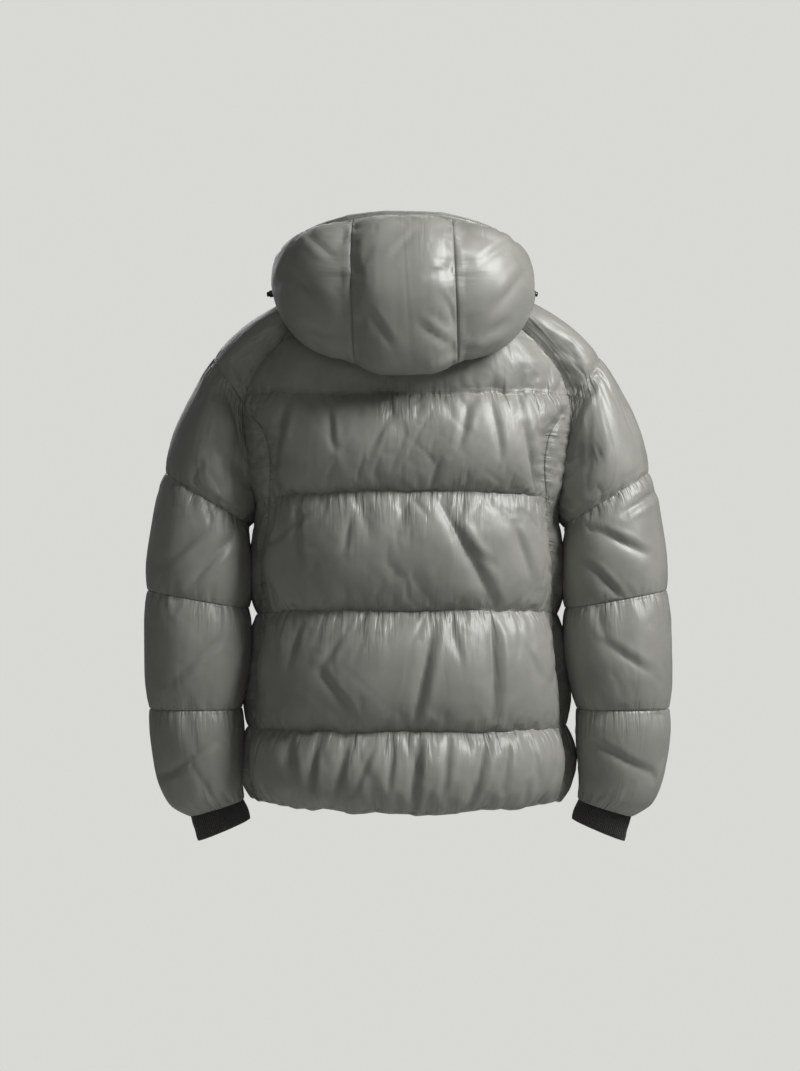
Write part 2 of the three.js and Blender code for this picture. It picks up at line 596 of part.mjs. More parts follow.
// A body panel from one edge to the other. place gives the angle and side of a column.
function bodyPanel(columns, face, place) {
  const inner = [];
  const outer = [];
  const front = face === 'front';
  for (let level = 0; level <= hemLevel; level += 1) {
    const innerRow = [];
    const outerRow = [];
    for (let c = 0; c <= columns; c += 1) {
      const { angle, side, gapWay, arm, fromSeam } = place(level, c);
      const z = levelHeight(level, angle, front);
      const point = bodyPoint(angle, z, side);
      const normal = bodyNormal(angle, z, side);
      if (arm) normal.copy(sleeves.get(side).seams[face][level].direction);
      if (gapWay) {
        const around = bodyPoint(angle + gapWay, z, side).sub(point).normalize();
        point.addScaledVector(around, halfGap);
      }
      const edge = fromSeam === 0 || level === 0;
      const wall = bodyThickness(point, levels[level].z, angle, fromSeam, front);
      innerRow.push(point);
      outerRow.push(point.clone().addScaledVector(normal, edge ? Math.min(wall, hemWall) : wall));
    }
    inner.push(innerRow);
    outer.push(outerRow);
  }
  return { inner, outer };
}

// The back runs from the wearer's right seam to the left one.
const back = bodyPanel(backColumns, 'back', (level, c) => {
  const across = mix(-1, 1, c / backColumns);
  const side = across < 0 ? -1 : 1;
  const edge = panelEdge(level, 'back');
  const angle = Math.abs(across) * edge;
  const width = read(bodySections, 'width', levels[level].z);
  const atEdge = c === 0 || c === backColumns;
  return {
    angle,
    side,
    gapWay: atEdge ? -0.5 : 0,
    arm: atEdge && level <= raglanEnd,
    fromSeam: (edge - angle) * degrees * width,
  };
});
addPiece('back', paddedPanel(back.inner, back.outer, insideRows), shell);

// Each front runs from the side seam to the zip.
const fronts = new Map();
for (const [name, side] of [['front_left', 1], ['front_right', -1]]) {
  const front = bodyPanel(frontColumns, 'front', (level, c) => {
    const flat = levels[level].z;
    const width = read(bodySections, 'width', Math.min(flat, neckFrontLow));
    const edge = panelEdge(level, 'front');
    const zip = (zipHalfWidth + seamGap) / width / degrees;
    const fromFront = mix(edge, zip, c / frontColumns);
    const sideDistance = (edge - fromFront) * degrees * width;
    const zipDistance = (fromFront - zip) * degrees * width;
    return {
      angle: 180 - fromFront,
      side,
      gapWay: c === 0 ? 0.5 : 0,
      arm: c === 0 && level <= raglanEnd,
      fromSeam: Math.min(sideDistance, zipDistance * zipPress),
    };
  });
  for (const rows of [front.inner, front.outer]) {
    for (const row of rows) row[frontColumns].x = side * (zipHalfWidth + seamGap);
  }
  fronts.set(side, front);
  addPiece(name, paddedPanel(front.inner, front.outer, insideRows), shell);
}

// The point of the armhole seam nearest to a point of the side panel.
function nearestArmhole(point, face, side) {
  const seam = sleeves.get(side).seams[face];
  let nearest = { distance: Infinity };
  for (let i = raglanEnd; i < underarm; i += 1) {
    const along = seam[i + 1].point.clone().sub(seam[i].point);
    const t = clamp(point.clone().sub(seam[i].point).dot(along) / along.lengthSq());
    const distance = seam[i].point.clone().addScaledVector(along, t).distanceTo(point);
    if (distance < nearest.distance) {
      nearest = { distance, direction: seam[i].direction.clone().lerp(seam[i + 1].direction, t) };
    }
  }
  return nearest;
}

// Each side panel has a back and a front half. They part above the underarm, round the sleeve.
const sideRows = hemLevel - raglanEnd;
const sideInsideRows = [0, ...insideRowsBody.map((level) => level - raglanEnd)];
for (const [name, side] of [['side_left', 1], ['side_right', -1]]) {
  const faces = [];
  for (const face of ['back', 'front']) {
    const front = face === 'front';
    const inner = [];
    const outer = [];
    for (let r = 0; r <= sideRows; r += 1) {
      const level = r + raglanEnd;
      const seam = panelEdge(level, face);
      const arm = level <= underarm ? read(armSeam, face, levels[level].z) : 90;
      const innerRow = [];
      const outerRow = [];
      for (let c = 0; c <= sideColumns; c += 1) {
        let fromMiddle = mix(seam, arm, c / sideColumns);
        let drop = 0;
        if (r === 0) {
          const below = levels[level + 1].z;
          const between = (panelEdge(level + 1, face) + read(armSeam, face, below)) / 2;
          fromMiddle = mix(seam, between, tipShare);
          drop = (levels[level].z - below) * tipShare;
        }
        const angle = front ? 180 - fromMiddle : fromMiddle;
        const z = levelHeight(level, angle, front) - drop;
        const point = bodyPoint(angle, z, side);
        const normal = bodyNormal(angle, z, side);
        const width = read(bodySections, 'width', z);
        const armhole = nearestArmhole(point, face, side);
        const fromSeam = (fromMiddle - seam) * degrees * width;
        const turn = front ? -0.5 : 0.5;
        const step = (way) => bodyPoint(angle + way, z, side).sub(bodyPoint(angle, z, side));
        if (c === 0 && r > 0) point.addScaledVector(step(turn).normalize(), halfGap);
        const nearest = Math.min(fromSeam, armhole.distance * armpitFlat);
        let thickness = bodyThickness(point, levels[level].z, angle, nearest, front);
        normal.lerp(armhole.direction, 1 - smooth(clamp(armhole.distance / armpitTurn))).normalize();
        if (level <= underarm && c === sideColumns) {
          normal.copy(sleeves.get(side).seams[face][level].direction);
          if (level < underarm && r > 0) point.addScaledVector(step(-turn).normalize(), halfGap);
          if (level === underarm) point.z -= halfGap;
          thickness = seamWall;
        }
        if (r === 0) {
          normal.copy(sleeves.get(side).seams[face][level].direction);
          thickness = seamWall;
        }
        innerRow.push(point);
        outerRow.push(point.clone().addScaledVector(normal, thickness));
      }
      if (front) {
        innerRow.reverse();
        outerRow.reverse();
      }
      inner.push(innerRow);
      outer.push(outerRow);
    }
    const middle = front ? 0 : sideColumns;
    faces.push(...panelFaces(inner, outer, sideInsideRows, underarm - raglanEnd, [middle]));
  }
  addPiece(name, solidGeometry(faces), shell);
}

// The neck edge on one side, from the middle of the back over the sleeve to the zip.
function neckEdge(side) {
  const half = backColumns / 2;
  const edge = [];
  for (let i = 0; i <= half; i += 1) {
    const c = half + side * i;
    edge.push({ inner: back.inner[0][c], outer: back.outer[0][c] });
  }
  const sleeve = sleeves.get(side);
  for (let c = 1; c < sleeveColumns; c += 1) {
    edge.push({ inner: sleeve.inner[0][c], outer: sleeve.outer[0][c] });
  }
  const front = fronts.get(side);
  for (let c = 0; c <= frontColumns; c += 1) {
    edge.push({ inner: front.inner[0][c], outer: front.outer[0][c] });
  }
  for (const pair of edge) pair.heading = headingOf(pair.inner);
  return edge;
}

function headingOf(point) {
  return Math.atan2(Math.abs(point.x), point.y) / degrees;
}

function neckPoint(edge, heading, layer) {
  let i = 0;
  while (i < edge.length - 2 && edge[i + 1].heading < heading) i += 1;
  const t = clamp((heading - edge[i].heading) / (edge[i + 1].heading - edge[i].heading));
  const point = edge[i][layer].clone().lerp(edge[i + 1][layer], t);
  point.z += neckRise;
  return point;
}

// How far a point of the hood lies over to the wearer's left.
function leanAt(heading, stage) {
  const behind = (leanHeadings.none - heading) / (leanHeadings.none - leanHeadings.full);
  const along = (stage - leanStages.none) / (leanStages.full - leanStages.none);
  return hoodLean * smooth(clamp(behind)) * smooth(clamp(along));
}

// A point of the hood's inside: heading round the neck, and stage from neck seam to rim seam.
function hoodPoint(edge, heading, stage, side) {
  const neck = neckPoint(edge, heading, 'inner');
  const track = hoodStages.map(({ at, key }) => (at === 0
    ? { at, out: Math.hypot(neck.x, neck.y), z: neck.z }
    : { at, out: read(hoodSections, key, heading, 'heading'),
      z: read(hoodSections, `${key}Z`, heading, 'heading') }));
  const out = read(track, 'out', stage, 'at');
  const z = read(track, 'z', stage, 'at');
  const sine = Math.sin(heading * degrees);
  const cosine = Math.cos(heading * degrees);
  return new THREE.Vector3(side * out * sine + leanAt(heading, stage), out * cosine, z);
}

// The heading that puts the inside of a stage at a given distance from the hood's middle line.
function headingAt(edge, x, stage, front) {
  let low = front ? 90 : 0;
  let high = front ? 180 : 80;
  for (let i = 0; i < 24; i += 1) {
    const middle = (low + high) / 2;
    const wide = hoodPoint(edge, middle, stage, 1).x - leanAt(middle, stage) > x;
    if (wide === front) low = middle;
    else high = middle;
  }
  return (low + high) / 2;
}

const neckEdges = new Map([[1, neckEdge(1)], [-1, neckEdge(-1)]]);
const lastStage = hoodStages.length - 1;
const hoodStage = (row) => (row / hoodRows) * lastStage;

function hoodPanel(columns, place) {
  const inside = [];
  for (let row = 0; row <= hoodRows; row += 1) {
    const points = [];
    for (let c = 0; c <= columns; c += 1) {
      const { heading, side } = place(row, c);
      points.push(hoodPoint(neckEdges.get(side), heading, hoodStage(row), side));
    }
    inside.push(points);
  }
  return inside;
}

function hoodWalls(inside, place, sign) {
  const normals = gridNormals(inside, sign);
  const inner = [];
  const outer = [];
  inside.forEach((points, row) => {
    const innerRow = [];
    const outerRow = [];
    points.forEach((start, c) => {
      const { heading, side, gapX, fromSeam } = place(row, c);
      const point = start.clone();
      point.x += gapX;
      const rimDistance = (hoodRows - row) * hoodRowStep;
      const fromNeck = smooth(clamp((row * hoodRowStep) / hoodNeckReach));
      const full = edgeFullness(Math.min(fromSeam, rimDistance), hoodReach) * fromNeck;
      const offShoulder = smooth(clamp(Math.abs(heading - 90) / hoodShoulderReach));
      const puff = puffHood * full * mix(puffHoodShoulder, 1, offShoulder);
      const tip = point.clone().addScaledVector(normals[row][c], seamWall + puff);
      if (row === 0) {
        tip.copy(neckPoint(neckEdges.get(side), heading, 'outer'));
        tip.x += gapX;
      }
      innerRow.push(point);
      outerRow.push(tip);
    });
    inner.push(innerRow);
    outer.push(outerRow);
  });
  return { inner, outer };
}

// The hood's centre panel runs between its two long seams.
const centreSeam = [];
for (let row = 0; row <= hoodRows; row += 1) {
  const x = read(hoodStages, 'centre', hoodStage(row), 'at');
  centreSeam.push(headingAt(neckEdges.get(1), x, hoodStage(row), false));
}
const centrePlace = (row, c) => {
  const across = mix(-1, 1, c / hoodCentreColumns);
  const side = across < 0 ? -1 : 1;
  const atEdge = c === 0 || c === hoodCentreColumns;
  const reach = read(hoodStages, 'centre', hoodStage(row), 'at');
  return {
    side,
    heading: Math.abs(across) * centreSeam[row],
    gapX: atEdge ? -side * halfGap : 0,
    fromSeam: (1 - Math.abs(across)) * reach,
  };
};
const hoodCentre = hoodPanel(hoodCentreColumns, centrePlace);
const centreWalls = hoodWalls(hoodCentre, centrePlace, 1);
addPiece('hood_centre', paddedPanel(centreWalls.inner, centreWalls.outer, insideRowsHood), shell);

// Each side of the hood runs from a long seam round the neck to the zip. Its columns start from
// every second point of the neck edge.
const neckColumns = [
  back.inner[0][backColumns - 3],
  ...sleeves.get(1).inner[0].filter((_, c) => c % 2 === 0),
  ...fronts.get(1).inner[0].filter((_, c) => c % 2 === 0 && c > 0 && c < frontColumns - 1),
].map(headingOf);
const hoodSideColumns = neckColumns.length + 1;
const zipEdge = [];
for (let row = 0; row <= hoodRows; row += 1) {
  zipEdge.push(headingAt(neckEdges.get(1), zipHalfWidth + seamGap, hoodStage(row), true));
}
const sideWalls = new Map();
for (const [name, side] of [['hood_side_left', 1], ['hood_side_right', -1]]) {
  const place = (row, c) => ({
    side,
    heading: [centreSeam[row], ...neckColumns, zipEdge[row]][c],
    gapX: c === 0 ? side * halfGap : 0,
    fromSeam: Math.min(c, hoodSideColumns - c) * hoodColumnStep,
  });
  const walls = hoodWalls(hoodPanel(hoodSideColumns, place), place, side);
  sideWalls.set(side, walls);
  addPiece(name, paddedPanel(walls.inner, walls.outer, insideRowsHood), shell);
}

// A closed band swept through a list of sections, each a loop of points, with flat ends. From
// section turnFrom on its quads are cut along their other diagonal, as the panel's below are.
function sweep(sections, turnFrom) {
  const faces = [];
  const count = sections[0].length;
  for (let i = 0; i < sections.length - 1; i += 1) {
    for (let k = 0; k < count; k += 1) {
      const next = (k + 1) % count;
      const [a, b] = [sections[i][k], sections[i][next]];
      const [c, d] = [sections[i + 1][next], sections[i + 1][k]];
      faces.push(...(i < turnFrom ? [a, b, c, a, c, d] : [a, b, d, b, c, d]));
    }
  }
  const [first, last] = [sections[0], sections[sections.length - 1]];
  for (let k = 1; k < count - 1; k += 1) {
    faces.push(first[0], first[k + 1], first[k], last[0], last[k], last[k + 1]);
  }
  return solidGeometry(faces);
}

// The way up out of the hood at its rim, and the way out through its wall.
function rimFrame(heading, side) {
  const edge = neckEdges.get(side);
  const step = 2;
  const seam = hoodPoint(edge, heading, lastStage, side);
  const up = seam.clone().sub(hoodPoint(edge, heading, lastStage - 0.2, side)).normalize();
  const before = hoodPoint(edge, Math.max(heading - step, 0), lastStage, side);
  const around = hoodPoint(edge, Math.min(heading + step, 180), lastStage, side).sub(before);
  const out = around.normalize().cross(up).multiplyScalar(-side).normalize();
  return { seam, up, out };
}

// The rim band is one casing, from the zip round the hood's opening and back to the zip. It
// stands on the hood's upper edge, point for point.
const rimZipHeading = zipEdge[hoodRows];
const rimCentre = centreWalls.inner[hoodRows].map((inner, c) => ({
  inner,
  outer: centreWalls.outer[hoodRows][c],
  side: c < hoodCentreColumns / 2 ? -1 : 1,
  heading: Math.abs(mix(-1, 1, c / hoodCentreColumns)) * centreSeam[hoodRows],
}));
const rimSide = (side) => sideWalls.get(side).inner[hoodRows].map((inner, c) => ({
  inner,
  outer: sideWalls.get(side).outer[hoodRows][c],
  side,
  heading: [centreSeam[hoodRows], ...neckColumns, rimZipHeading][c],
})).slice(1);
const rimStops = [...rimSide(-1).reverse(), ...rimCentre, ...rimSide(1)];
const rimSections = rimStops.map(({ inner, outer, heading, side }) => {
  const out = outer.clone().sub(inner).normalize();
  const up = rimFrame(heading, side).up.projectOnPlane(out).normalize();
  const lift = up.clone().multiplyScalar(seamGap);
  const raised = rimSection.map((corner) => inner.clone()
    .addScaledVector(out, corner.out).addScaledVector(up, corner.up));
  const points = [inner.clone().add(lift), outer.clone().add(lift), ...raised];
  if (heading === rimZipHeading) for (const point of points) point.x = side * (zipHalfWidth + seamGap);
  return points;
});
addPiece('hood_rim', sweep(rimSections, hoodSideColumns - 1), shell);

// A cord lock stands out of the rim band at each side of the hood.
for (const [name, side] of [['cord_lock_left', 1], ['cord_lock_right', -1]]) {
  const { seam, up, out } = rimFrame(lock.heading, side);
  const barrel = new THREE.CylinderGeometry(lock.radius * lock.taper, lock.radius, lock.length,
    lock.sides);
  const mesh = addPiece(name, barrel, blackPlastic);
  const reach = rimHeight + seamGap * 2 + lock.length / 2;
  mesh.position.copy(seam).addScaledVector(up, reach).addScaledVector(out, lock.out);
  mesh.quaternion.setFromUnitVectors(new THREE.Vector3(0, 1, 0), up);
}

// A rib knit cuff hangs from each sleeve's end. Every other column is raised as a rib.
for (const [name, side] of [['cuff_left', 1], ['cuff_right', -1]]) {
  const swing = side < 0 ? rightSleeveSwing : 0;
  const rings = [sleeveRing(sleeveLastRow), ...cuffRings];
  const columns = cuffRibs * 2;
  const inner = rings.map((ring, row) => {
    const points = [];
    for (let c = 0; c <= columns; c += 1) {
      const point = ringPoint(ring, mix(180, -180, (c % columns) / columns), side, swing);
      points.push(point.addScaledVector(cuffAxis(side), row === 0 ? seamGap : 0));
    }
    return points;
  });
  const middle = inner.map((points) => points.slice(1).reduce(
    (sum, point) => sum.add(point), new THREE.Vector3()).divideScalar(columns));
  const outer = inner.map((points, row) => points.map((point, c) => {
    const away = point.clone().sub(middle[row]).projectOnPlane(cuffAxis(side)).normalize();
    return point.clone().addScaledVector(away, cuffWall + (c % 2) * cuffRibHeight);
  }));
  addPiece(name, paddedPanel(inner, outer, [0, 1, 2], 0), ribKnit);
}

// The front closes on a zip: two tapes from the hem up to the top of the collar.
function zipLine() {
  const line = [];
  for (let level = hemLevel; level >= 0; level -= 1) {
    line.push(bodyPoint(180, levelHeight(level, 180, true), 1));
  }
  const edge = neckEdges.get(1);
  for (let row = 1; row <= hoodRows; row += 1) {
    line.push(hoodPoint(edge, rimZipHeading, hoodStage(row), 1));
  }
  const end = line[line.length - 1];
  const before = line[line.length - 2];
  line.push(end.clone().addScaledVector(end.clone().sub(before).normalize(), tapeTop));
  return line;
}
const zipCourse = zipLine();
const zipNormals = zipCourse.map((_, i) => {
  const low = zipCourse[Math.max(i - 1, 0)];
  const high = zipCourse[Math.min(i + 1, zipCourse.length - 1)];
  return new THREE.Vector3(0, low.z - high.z, high.y - low.y).normalize();
});
for (const [name, side] of [['zip_tape_left', 1], ['zip_tape_right', -1]]) {
  const layer = (height) => zipCourse.map((point, i) => [halfGap, zipHalfWidth].map((x) => {
    const place = point.clone().addScaledVector(zipNormals[i], height);
    place.x = side * x;
    return place;
  }));
  const rows = zipCourse.map((_, i) => i);
  addPiece(name, paddedPanel(layer(tapeSink), layer(tapeSink + zipTapeWall), rows), zipCloth);
}

// The slider sits near the top of the zip. Its bridge holds the bar of the pull tab.
const sliderRow = zipCourse.length - sliderFromTop;
const sliderUp = zipCourse[sliderRow + 1].clone().sub(zipCourse[sliderRow - 1]).setX(0).normalize();
const sliderOut = zipNormals[sliderRow].clone();
const sliderBase = zipCourse[sliderRow].clone().setX(0)
  .addScaledVector(sliderOut, tapeSink + zipTapeWall + seamGap);
const pinOut = sliderBody.thick + bridge.rise / 2;

const wasm = await Module();
wasm.setup();
function toSolid(geometry) {
  const bare = geometry.clone();
  bare.deleteAttribute('normal');
  bare.deleteAttribute('uv');
  const merged = mergeVertices(bare, 1e-4);
  return new wasm.Manifold(new wasm.Mesh({
    numProp: 3,
    vertProperties: merged.attributes.position.array,
    triVerts: new Uint32Array(merged.index.array),
  }));
}
function joined(boxes) {
  const solid = boxes.map(([low, high]) => {
    const size = high.map((value, i) => value - low[i]);
    const box = new THREE.BoxGeometry(...size);
    return toSolid(box.translate(...low.map((value, i) => value + size[i] / 2)));
  }).reduce((sum, box) => sum.add(box));
  const mesh = solid.getMesh();
  const geometry = new THREE.BufferGeometry();
  geometry.setAttribute('position', new THREE.BufferAttribute(mesh.vertProperties, 3));
  geometry.setIndex(new THREE.BufferAttribute(mesh.triVerts, 1));
  return geometry;
}
function place(mesh, base, across, up, out) {
  mesh.position.copy(base);
  mesh.quaternion.setFromRotationMatrix(new THREE.Matrix4().makeBasis(across, up, out));
}

const halfBody = [sliderBody.width / 2, sliderBody.height / 2];
const halfBridge = bridge.width / 2;
const strapLow = sliderBody.thick + bridge.rise;
const across = new THREE.Vector3().crossVectors(sliderUp, sliderOut);
const slider = addPiece('zip_slider', joined([
  [[-halfBody[0], -halfBody[1], 0], [halfBody[0], halfBody[1], sliderBody.thick]],
  [[-halfBridge, halfBody[1] - bridge.leg, sliderBody.thick - bridge.sink],
    [halfBridge, halfBody[1], strapLow + bridge.strap]],
  [[-halfBridge, -halfBody[1], sliderBody.thick - bridge.sink],
    [halfBridge, bridge.leg - halfBody[1], strapLow + bridge.strap]],
  [[-halfBridge, -halfBody[1], strapLow], [halfBridge, halfBody[1], strapLow + bridge.strap]],
]), zipMetal);
place(slider, sliderBase, across, sliderUp, sliderOut);

// The pull tab hangs straight down from its bar.
const pin = sliderBase.clone().addScaledVector(sliderUp, pinUp)
  .addScaledVector(sliderOut, pinOut);
const armEnd = tabArm.into + tabPlate.from;
const tab = addPiece('pull_tab', joined([
  [[-tabArm.to, -tabBar, -tabBar], [tabArm.to, tabBar, tabBar]],
  [[tabArm.from, -armEnd, -tabBar], [tabArm.to, tabBar, tabBar]],
  [[-tabArm.to, -armEnd, -tabBar], [-tabArm.from, tabBar, tabBar]],
  [[-tabPlate.width / 2, -tabPlate.to, -tabPlate.thick / 2],
    [tabPlate.width / 2, -tabPlate.from, tabPlate.thick / 2]],
]), zipMetal);
const sideways = new THREE.Vector3(1, 0, 0);
const upright = new THREE.Vector3(0, 0, 1);
place(tab, pin, sideways, upright, new THREE.Vector3(0, -1, 0));

// The box that joins the two tapes at the hem.
const boxShape = new THREE.BoxGeometry(zipBoxSize.width, zipBoxSize.height, zipBoxSize.thick);
const boxOut = zipNormals[zipBoxSize.row].clone();
const boxUp = new THREE.Vector3().crossVectors(boxOut, sideways);
const boxBase = zipCourse[zipBoxSize.row].clone().setX(0)
  .addScaledVector(boxOut, tapeSink + zipTapeWall + seamGap + zipBoxSize.thick / 2);
place(addPiece('zip_box', boxShape, zipMetal), boxBase, sideways, boxUp, boxOut);

export default group;
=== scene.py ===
import math

import bmesh
import bpy
import numpy as np
from mathutils import Matrix, Vector


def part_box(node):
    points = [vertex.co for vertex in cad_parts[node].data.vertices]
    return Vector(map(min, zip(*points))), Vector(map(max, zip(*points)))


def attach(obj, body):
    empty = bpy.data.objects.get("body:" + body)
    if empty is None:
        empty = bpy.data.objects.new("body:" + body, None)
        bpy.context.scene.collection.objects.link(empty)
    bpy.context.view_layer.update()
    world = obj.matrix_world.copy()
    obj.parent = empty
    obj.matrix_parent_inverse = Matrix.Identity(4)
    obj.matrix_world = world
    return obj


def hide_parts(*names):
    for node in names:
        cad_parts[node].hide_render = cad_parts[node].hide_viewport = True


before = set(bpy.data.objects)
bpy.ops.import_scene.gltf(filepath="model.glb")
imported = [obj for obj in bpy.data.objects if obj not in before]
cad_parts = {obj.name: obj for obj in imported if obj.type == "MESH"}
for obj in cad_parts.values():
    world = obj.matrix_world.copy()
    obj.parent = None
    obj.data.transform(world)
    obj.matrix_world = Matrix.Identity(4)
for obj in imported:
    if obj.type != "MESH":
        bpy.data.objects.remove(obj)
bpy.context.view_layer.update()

# Shell cloth
# The outside of every panel is a thin, closely woven nylon in a warm grey with a soft shine. The
# padding crinkles it all over. The inside is a plainer, darker taffeta of the same weight.


def join(tree, source, output, target, socket):
    tree.links.new(source.outputs[output], target.inputs[socket])


def crinkle_group():
    """Height of faint streaks, of the puckers at stitched lines and of a weave, and a slow tone."""
    tree = bpy.data.node_groups.new("crinkled_cloth", "ShaderNodeTree")
    for name, value in (("Streak depth", 0.3), ("Pucker depth", 1.0), ("Thread scale", 2400.0),
                        ("Thread depth", 0.02)):
        socket = tree.interface.new_socket(name, in_out="INPUT", socket_type="NodeSocketFloat")
        socket.default_value = value
    tree.interface.new_socket("Height", in_out="OUTPUT", socket_type="NodeSocketFloat")
    tree.interface.new_socket("Tone", in_out="OUTPUT", socket_type="NodeSocketFloat")
    put_in = tree.nodes.new("NodeGroupInput")
    put_out = tree.nodes.new("NodeGroupOutput")
    place = tree.nodes.new("ShaderNodeTexCoord")
    stretch = tree.nodes.new("ShaderNodeMapping")
    stretch.inputs["Scale"].default_value = (42.0, 13.0, 1.0)
    stretch.inputs["Rotation"].default_value = (0.0, 0.0, 0.25)
    streaks = tree.nodes.new("ShaderNodeTexNoise")
    streaks.noise_type = "RIDGED_MULTIFRACTAL"
    streaks.inputs["Scale"].default_value = 1.0
    streaks.inputs["Detail"].default_value = 2.5
    streaks.inputs["Roughness"].default_value = 0.4
    streaks.inputs["Distortion"].default_value = 0.9
    join(tree, place, "UV", stretch, "Vector")
    join(tree, stretch, "Vector", streaks, "Vector")
    slow = tree.nodes.new("ShaderNodeTexNoise")
    slow.inputs["Scale"].default_value = 14.0
    slow.inputs["Detail"].default_value = 4.0
    join(tree, place, "Object", slow, "Vector")
    join(tree, slow, "Fac", put_out, "Tone")
    seam = tree.nodes.new("ShaderNodeUVMap")
    seam.uv_map = "seam"
    pull = tree.nodes.new("ShaderNodeMapping")
    pull.inputs["Scale"].default_value = (120.0, 14.0, 1.0)
    puckers = tree.nodes.new("ShaderNodeTexNoise")
    puckers.inputs["Scale"].default_value = 1.0
    puckers.inputs["Detail"].default_value = 2.0
    puckers.inputs["Distortion"].default_value = 0.4
    join(tree, seam, "UV", pull, "Vector")
    join(tree, pull, "Vector", puckers, "Vector")
    crisp = tree.nodes.new("ShaderNodeMapRange")
    crisp.interpolation_type = "SMOOTHSTEP"
    crisp.inputs["From Min"].default_value = 0.36
    crisp.inputs["From Max"].default_value = 0.62
    join(tree, puckers, "Fac", crisp, "Value")
    gathered = tree.nodes.new("ShaderNodeAttribute")
    gathered.attribute_name = "gathered"
    near = tree.nodes.new("ShaderNodeMath")
    near.operation = "MULTIPLY"
    join(tree, crisp, "Result", near, 0)
    join(tree, gathered, "Fac", near, 1)
    folded = tree.nodes.new("ShaderNodeMath")
    folded.operation = "MULTIPLY"
    join(tree, near, "Value", folded, 0)
    join(tree, put_in, "Pucker depth", folded, 1)
    threads = []
    for way in ("X", "Y"):
        wave = tree.nodes.new("ShaderNodeTexWave")
        wave.bands_direction = way
        join(tree, place, "UV", wave, "Vector")
        join(tree, put_in, "Thread scale", wave, "Scale")
        threads.append(wave)
    over = tree.nodes.new("ShaderNodeMath")
    over.operation = "MULTIPLY"
    join(tree, threads[0], "Fac", over, 0)
    join(tree, threads[1], "Fac", over, 1)
    fine = tree.nodes.new("ShaderNodeMath")
    fine.operation = "MULTIPLY"
    join(tree, over, "Value", fine, 0)
    join(tree, put_in, "Thread depth", fine, 1)
    deep = tree.nodes.new("ShaderNodeMath")
    deep.operation = "MULTIPLY"
    join(tree, streaks, "Fac", deep, 0)
    join(tree, put_in, "Streak depth", deep, 1)
    creased = tree.nodes.new("ShaderNodeMath")
    join(tree, deep, "Value", creased, 0)
    join(tree, folded, "Value", creased, 1)
    total = tree.nodes.new("ShaderNodeMath")
    join(tree, creased, "Value", total, 0)
    join(tree, fine, "Value", total, 1)
    join(tree, total, "Value", put_out, "Height")
    return tree


crinkled = crinkle_group()


def cloth_material(name, light, dark, roughness, sheen, streaks=0.0, puckers=0.0,
                   threads=(2400.0, 0.02), coat=0.0):
    """A woven cloth: its two tones, its shine, and the depths of its relief in millimetres."""
    material = bpy.data.materials.new(name)
    material.use_nodes = True
    tree = material.node_tree
    shader = tree.nodes["Principled BSDF"]
    shader.inputs["Roughness"].default_value = roughness
    shader.inputs["Sheen Weight"].default_value = sheen
    shader.inputs["Sheen Roughness"].default_value = 0.4
    shader.inputs["Coat Weight"].default_value = coat
    shader.inputs["Coat Roughness"].default_value = 0.3
    group = tree.nodes.new("ShaderNodeGroup")
    group.node_tree = crinkled
    group.inputs["Streak depth"].default_value = streaks
    group.inputs["Pucker depth"].default_value = puckers
    group.inputs["Thread scale"].default_value = threads[0]
    group.inputs["Thread depth"].default_value = threads[1]
    tones = tree.nodes.new("ShaderNodeValToRGB")
    tones.color_ramp.elements[0].position = 0.3
    tones.color_ramp.elements[0].color = (*dark, 1)
    tones.color_ramp.elements[1].position = 0.7
    tones.color_ramp.elements[1].color = (*light, 1)
    join(tree, group, "Tone", tones, "Fac")
    join(tree, tones, "Color", shader, "Base Color")
    bump = tree.nodes.new("ShaderNodeBump")
    bump.inputs["Strength"].default_value = 1.0
    bump.inputs["Distance"].default_value = 0.001
    join(tree, group, "Height", bump, "Height")
    join(tree, bump, "Normal", shader, "Normal")
    return material


nylon = cloth_material("shell_nylon", (0.272, 0.272, 0.247), (0.213, 0.213, 0.193), 0.4, 0.08,
                       streaks=0.9, puckers=1.6)
taffeta = cloth_material("lining_taffeta", (0.035, 0.035, 0.032), (0.026, 0.026, 0.024), 0.5, 0.1,
                         streaks=0.3)

# Body form
# The body is a tube round the chest, waist and hips, cut into a back, two fronts and two sides.
# Each panel is padded between a plain inside and a shell that is stitched through in level lines.
degree = math.pi / 180
seam_wall = 3.0
hem_wall = 6.0
grid_step = 3.3

# height, half width, depth behind, depth before, middle line
body_form = np.array([
    (36, 80, 62, 30, 0), (8, 118, 84, 50, 0), (-20, 150, 103, 66, 0), (-48, 178, 118, 80, 0),
    (-75, 198, 128, 94, -1), (-100, 210, 136, 106, -2), (-135, 217, 142, 119, -4),
    (-165, 218, 146, 127, -6), (-200, 212, 149, 132, -8), (-232, 203, 151, 134, -10),
    (-255, 192, 152, 134, -12), (-272, 187, 153, 133, -13), (-297, 186, 154, 130, -15),
    (-340, 186, 155, 125, -18), (-392, 184, 156, 120, -20), (-462, 187, 159, 119, -20),
    (-531, 195, 161, 122, -20), (-590, 194, 160, 122, -20), (-630, 186, 156, 118, -20),
], float)
# how far the middle of a level line rises above its sides
middle_rises = np.array([(-122, 0), (-255, 15), (-392, 8), (-531, 0), (-630, 0)], float)
# height, then the sleeve seam's angle from the middle of the back and of the front
arm_seam = np.array([
    (36, 35, 30), (8, 40, 35), (-20, 45, 40), (-48, 49.5, 45), (-75, 53.5, 50), (-100, 57.5, 55),
    (-122, 60, 58), (-135, 60.5, 59.5), (-165, 60, 60), (-200, 60, 61), (-232, 63, 64),
    (-255, 71, 71), (-268, 81, 81), (-272, 90, 90),
], float)
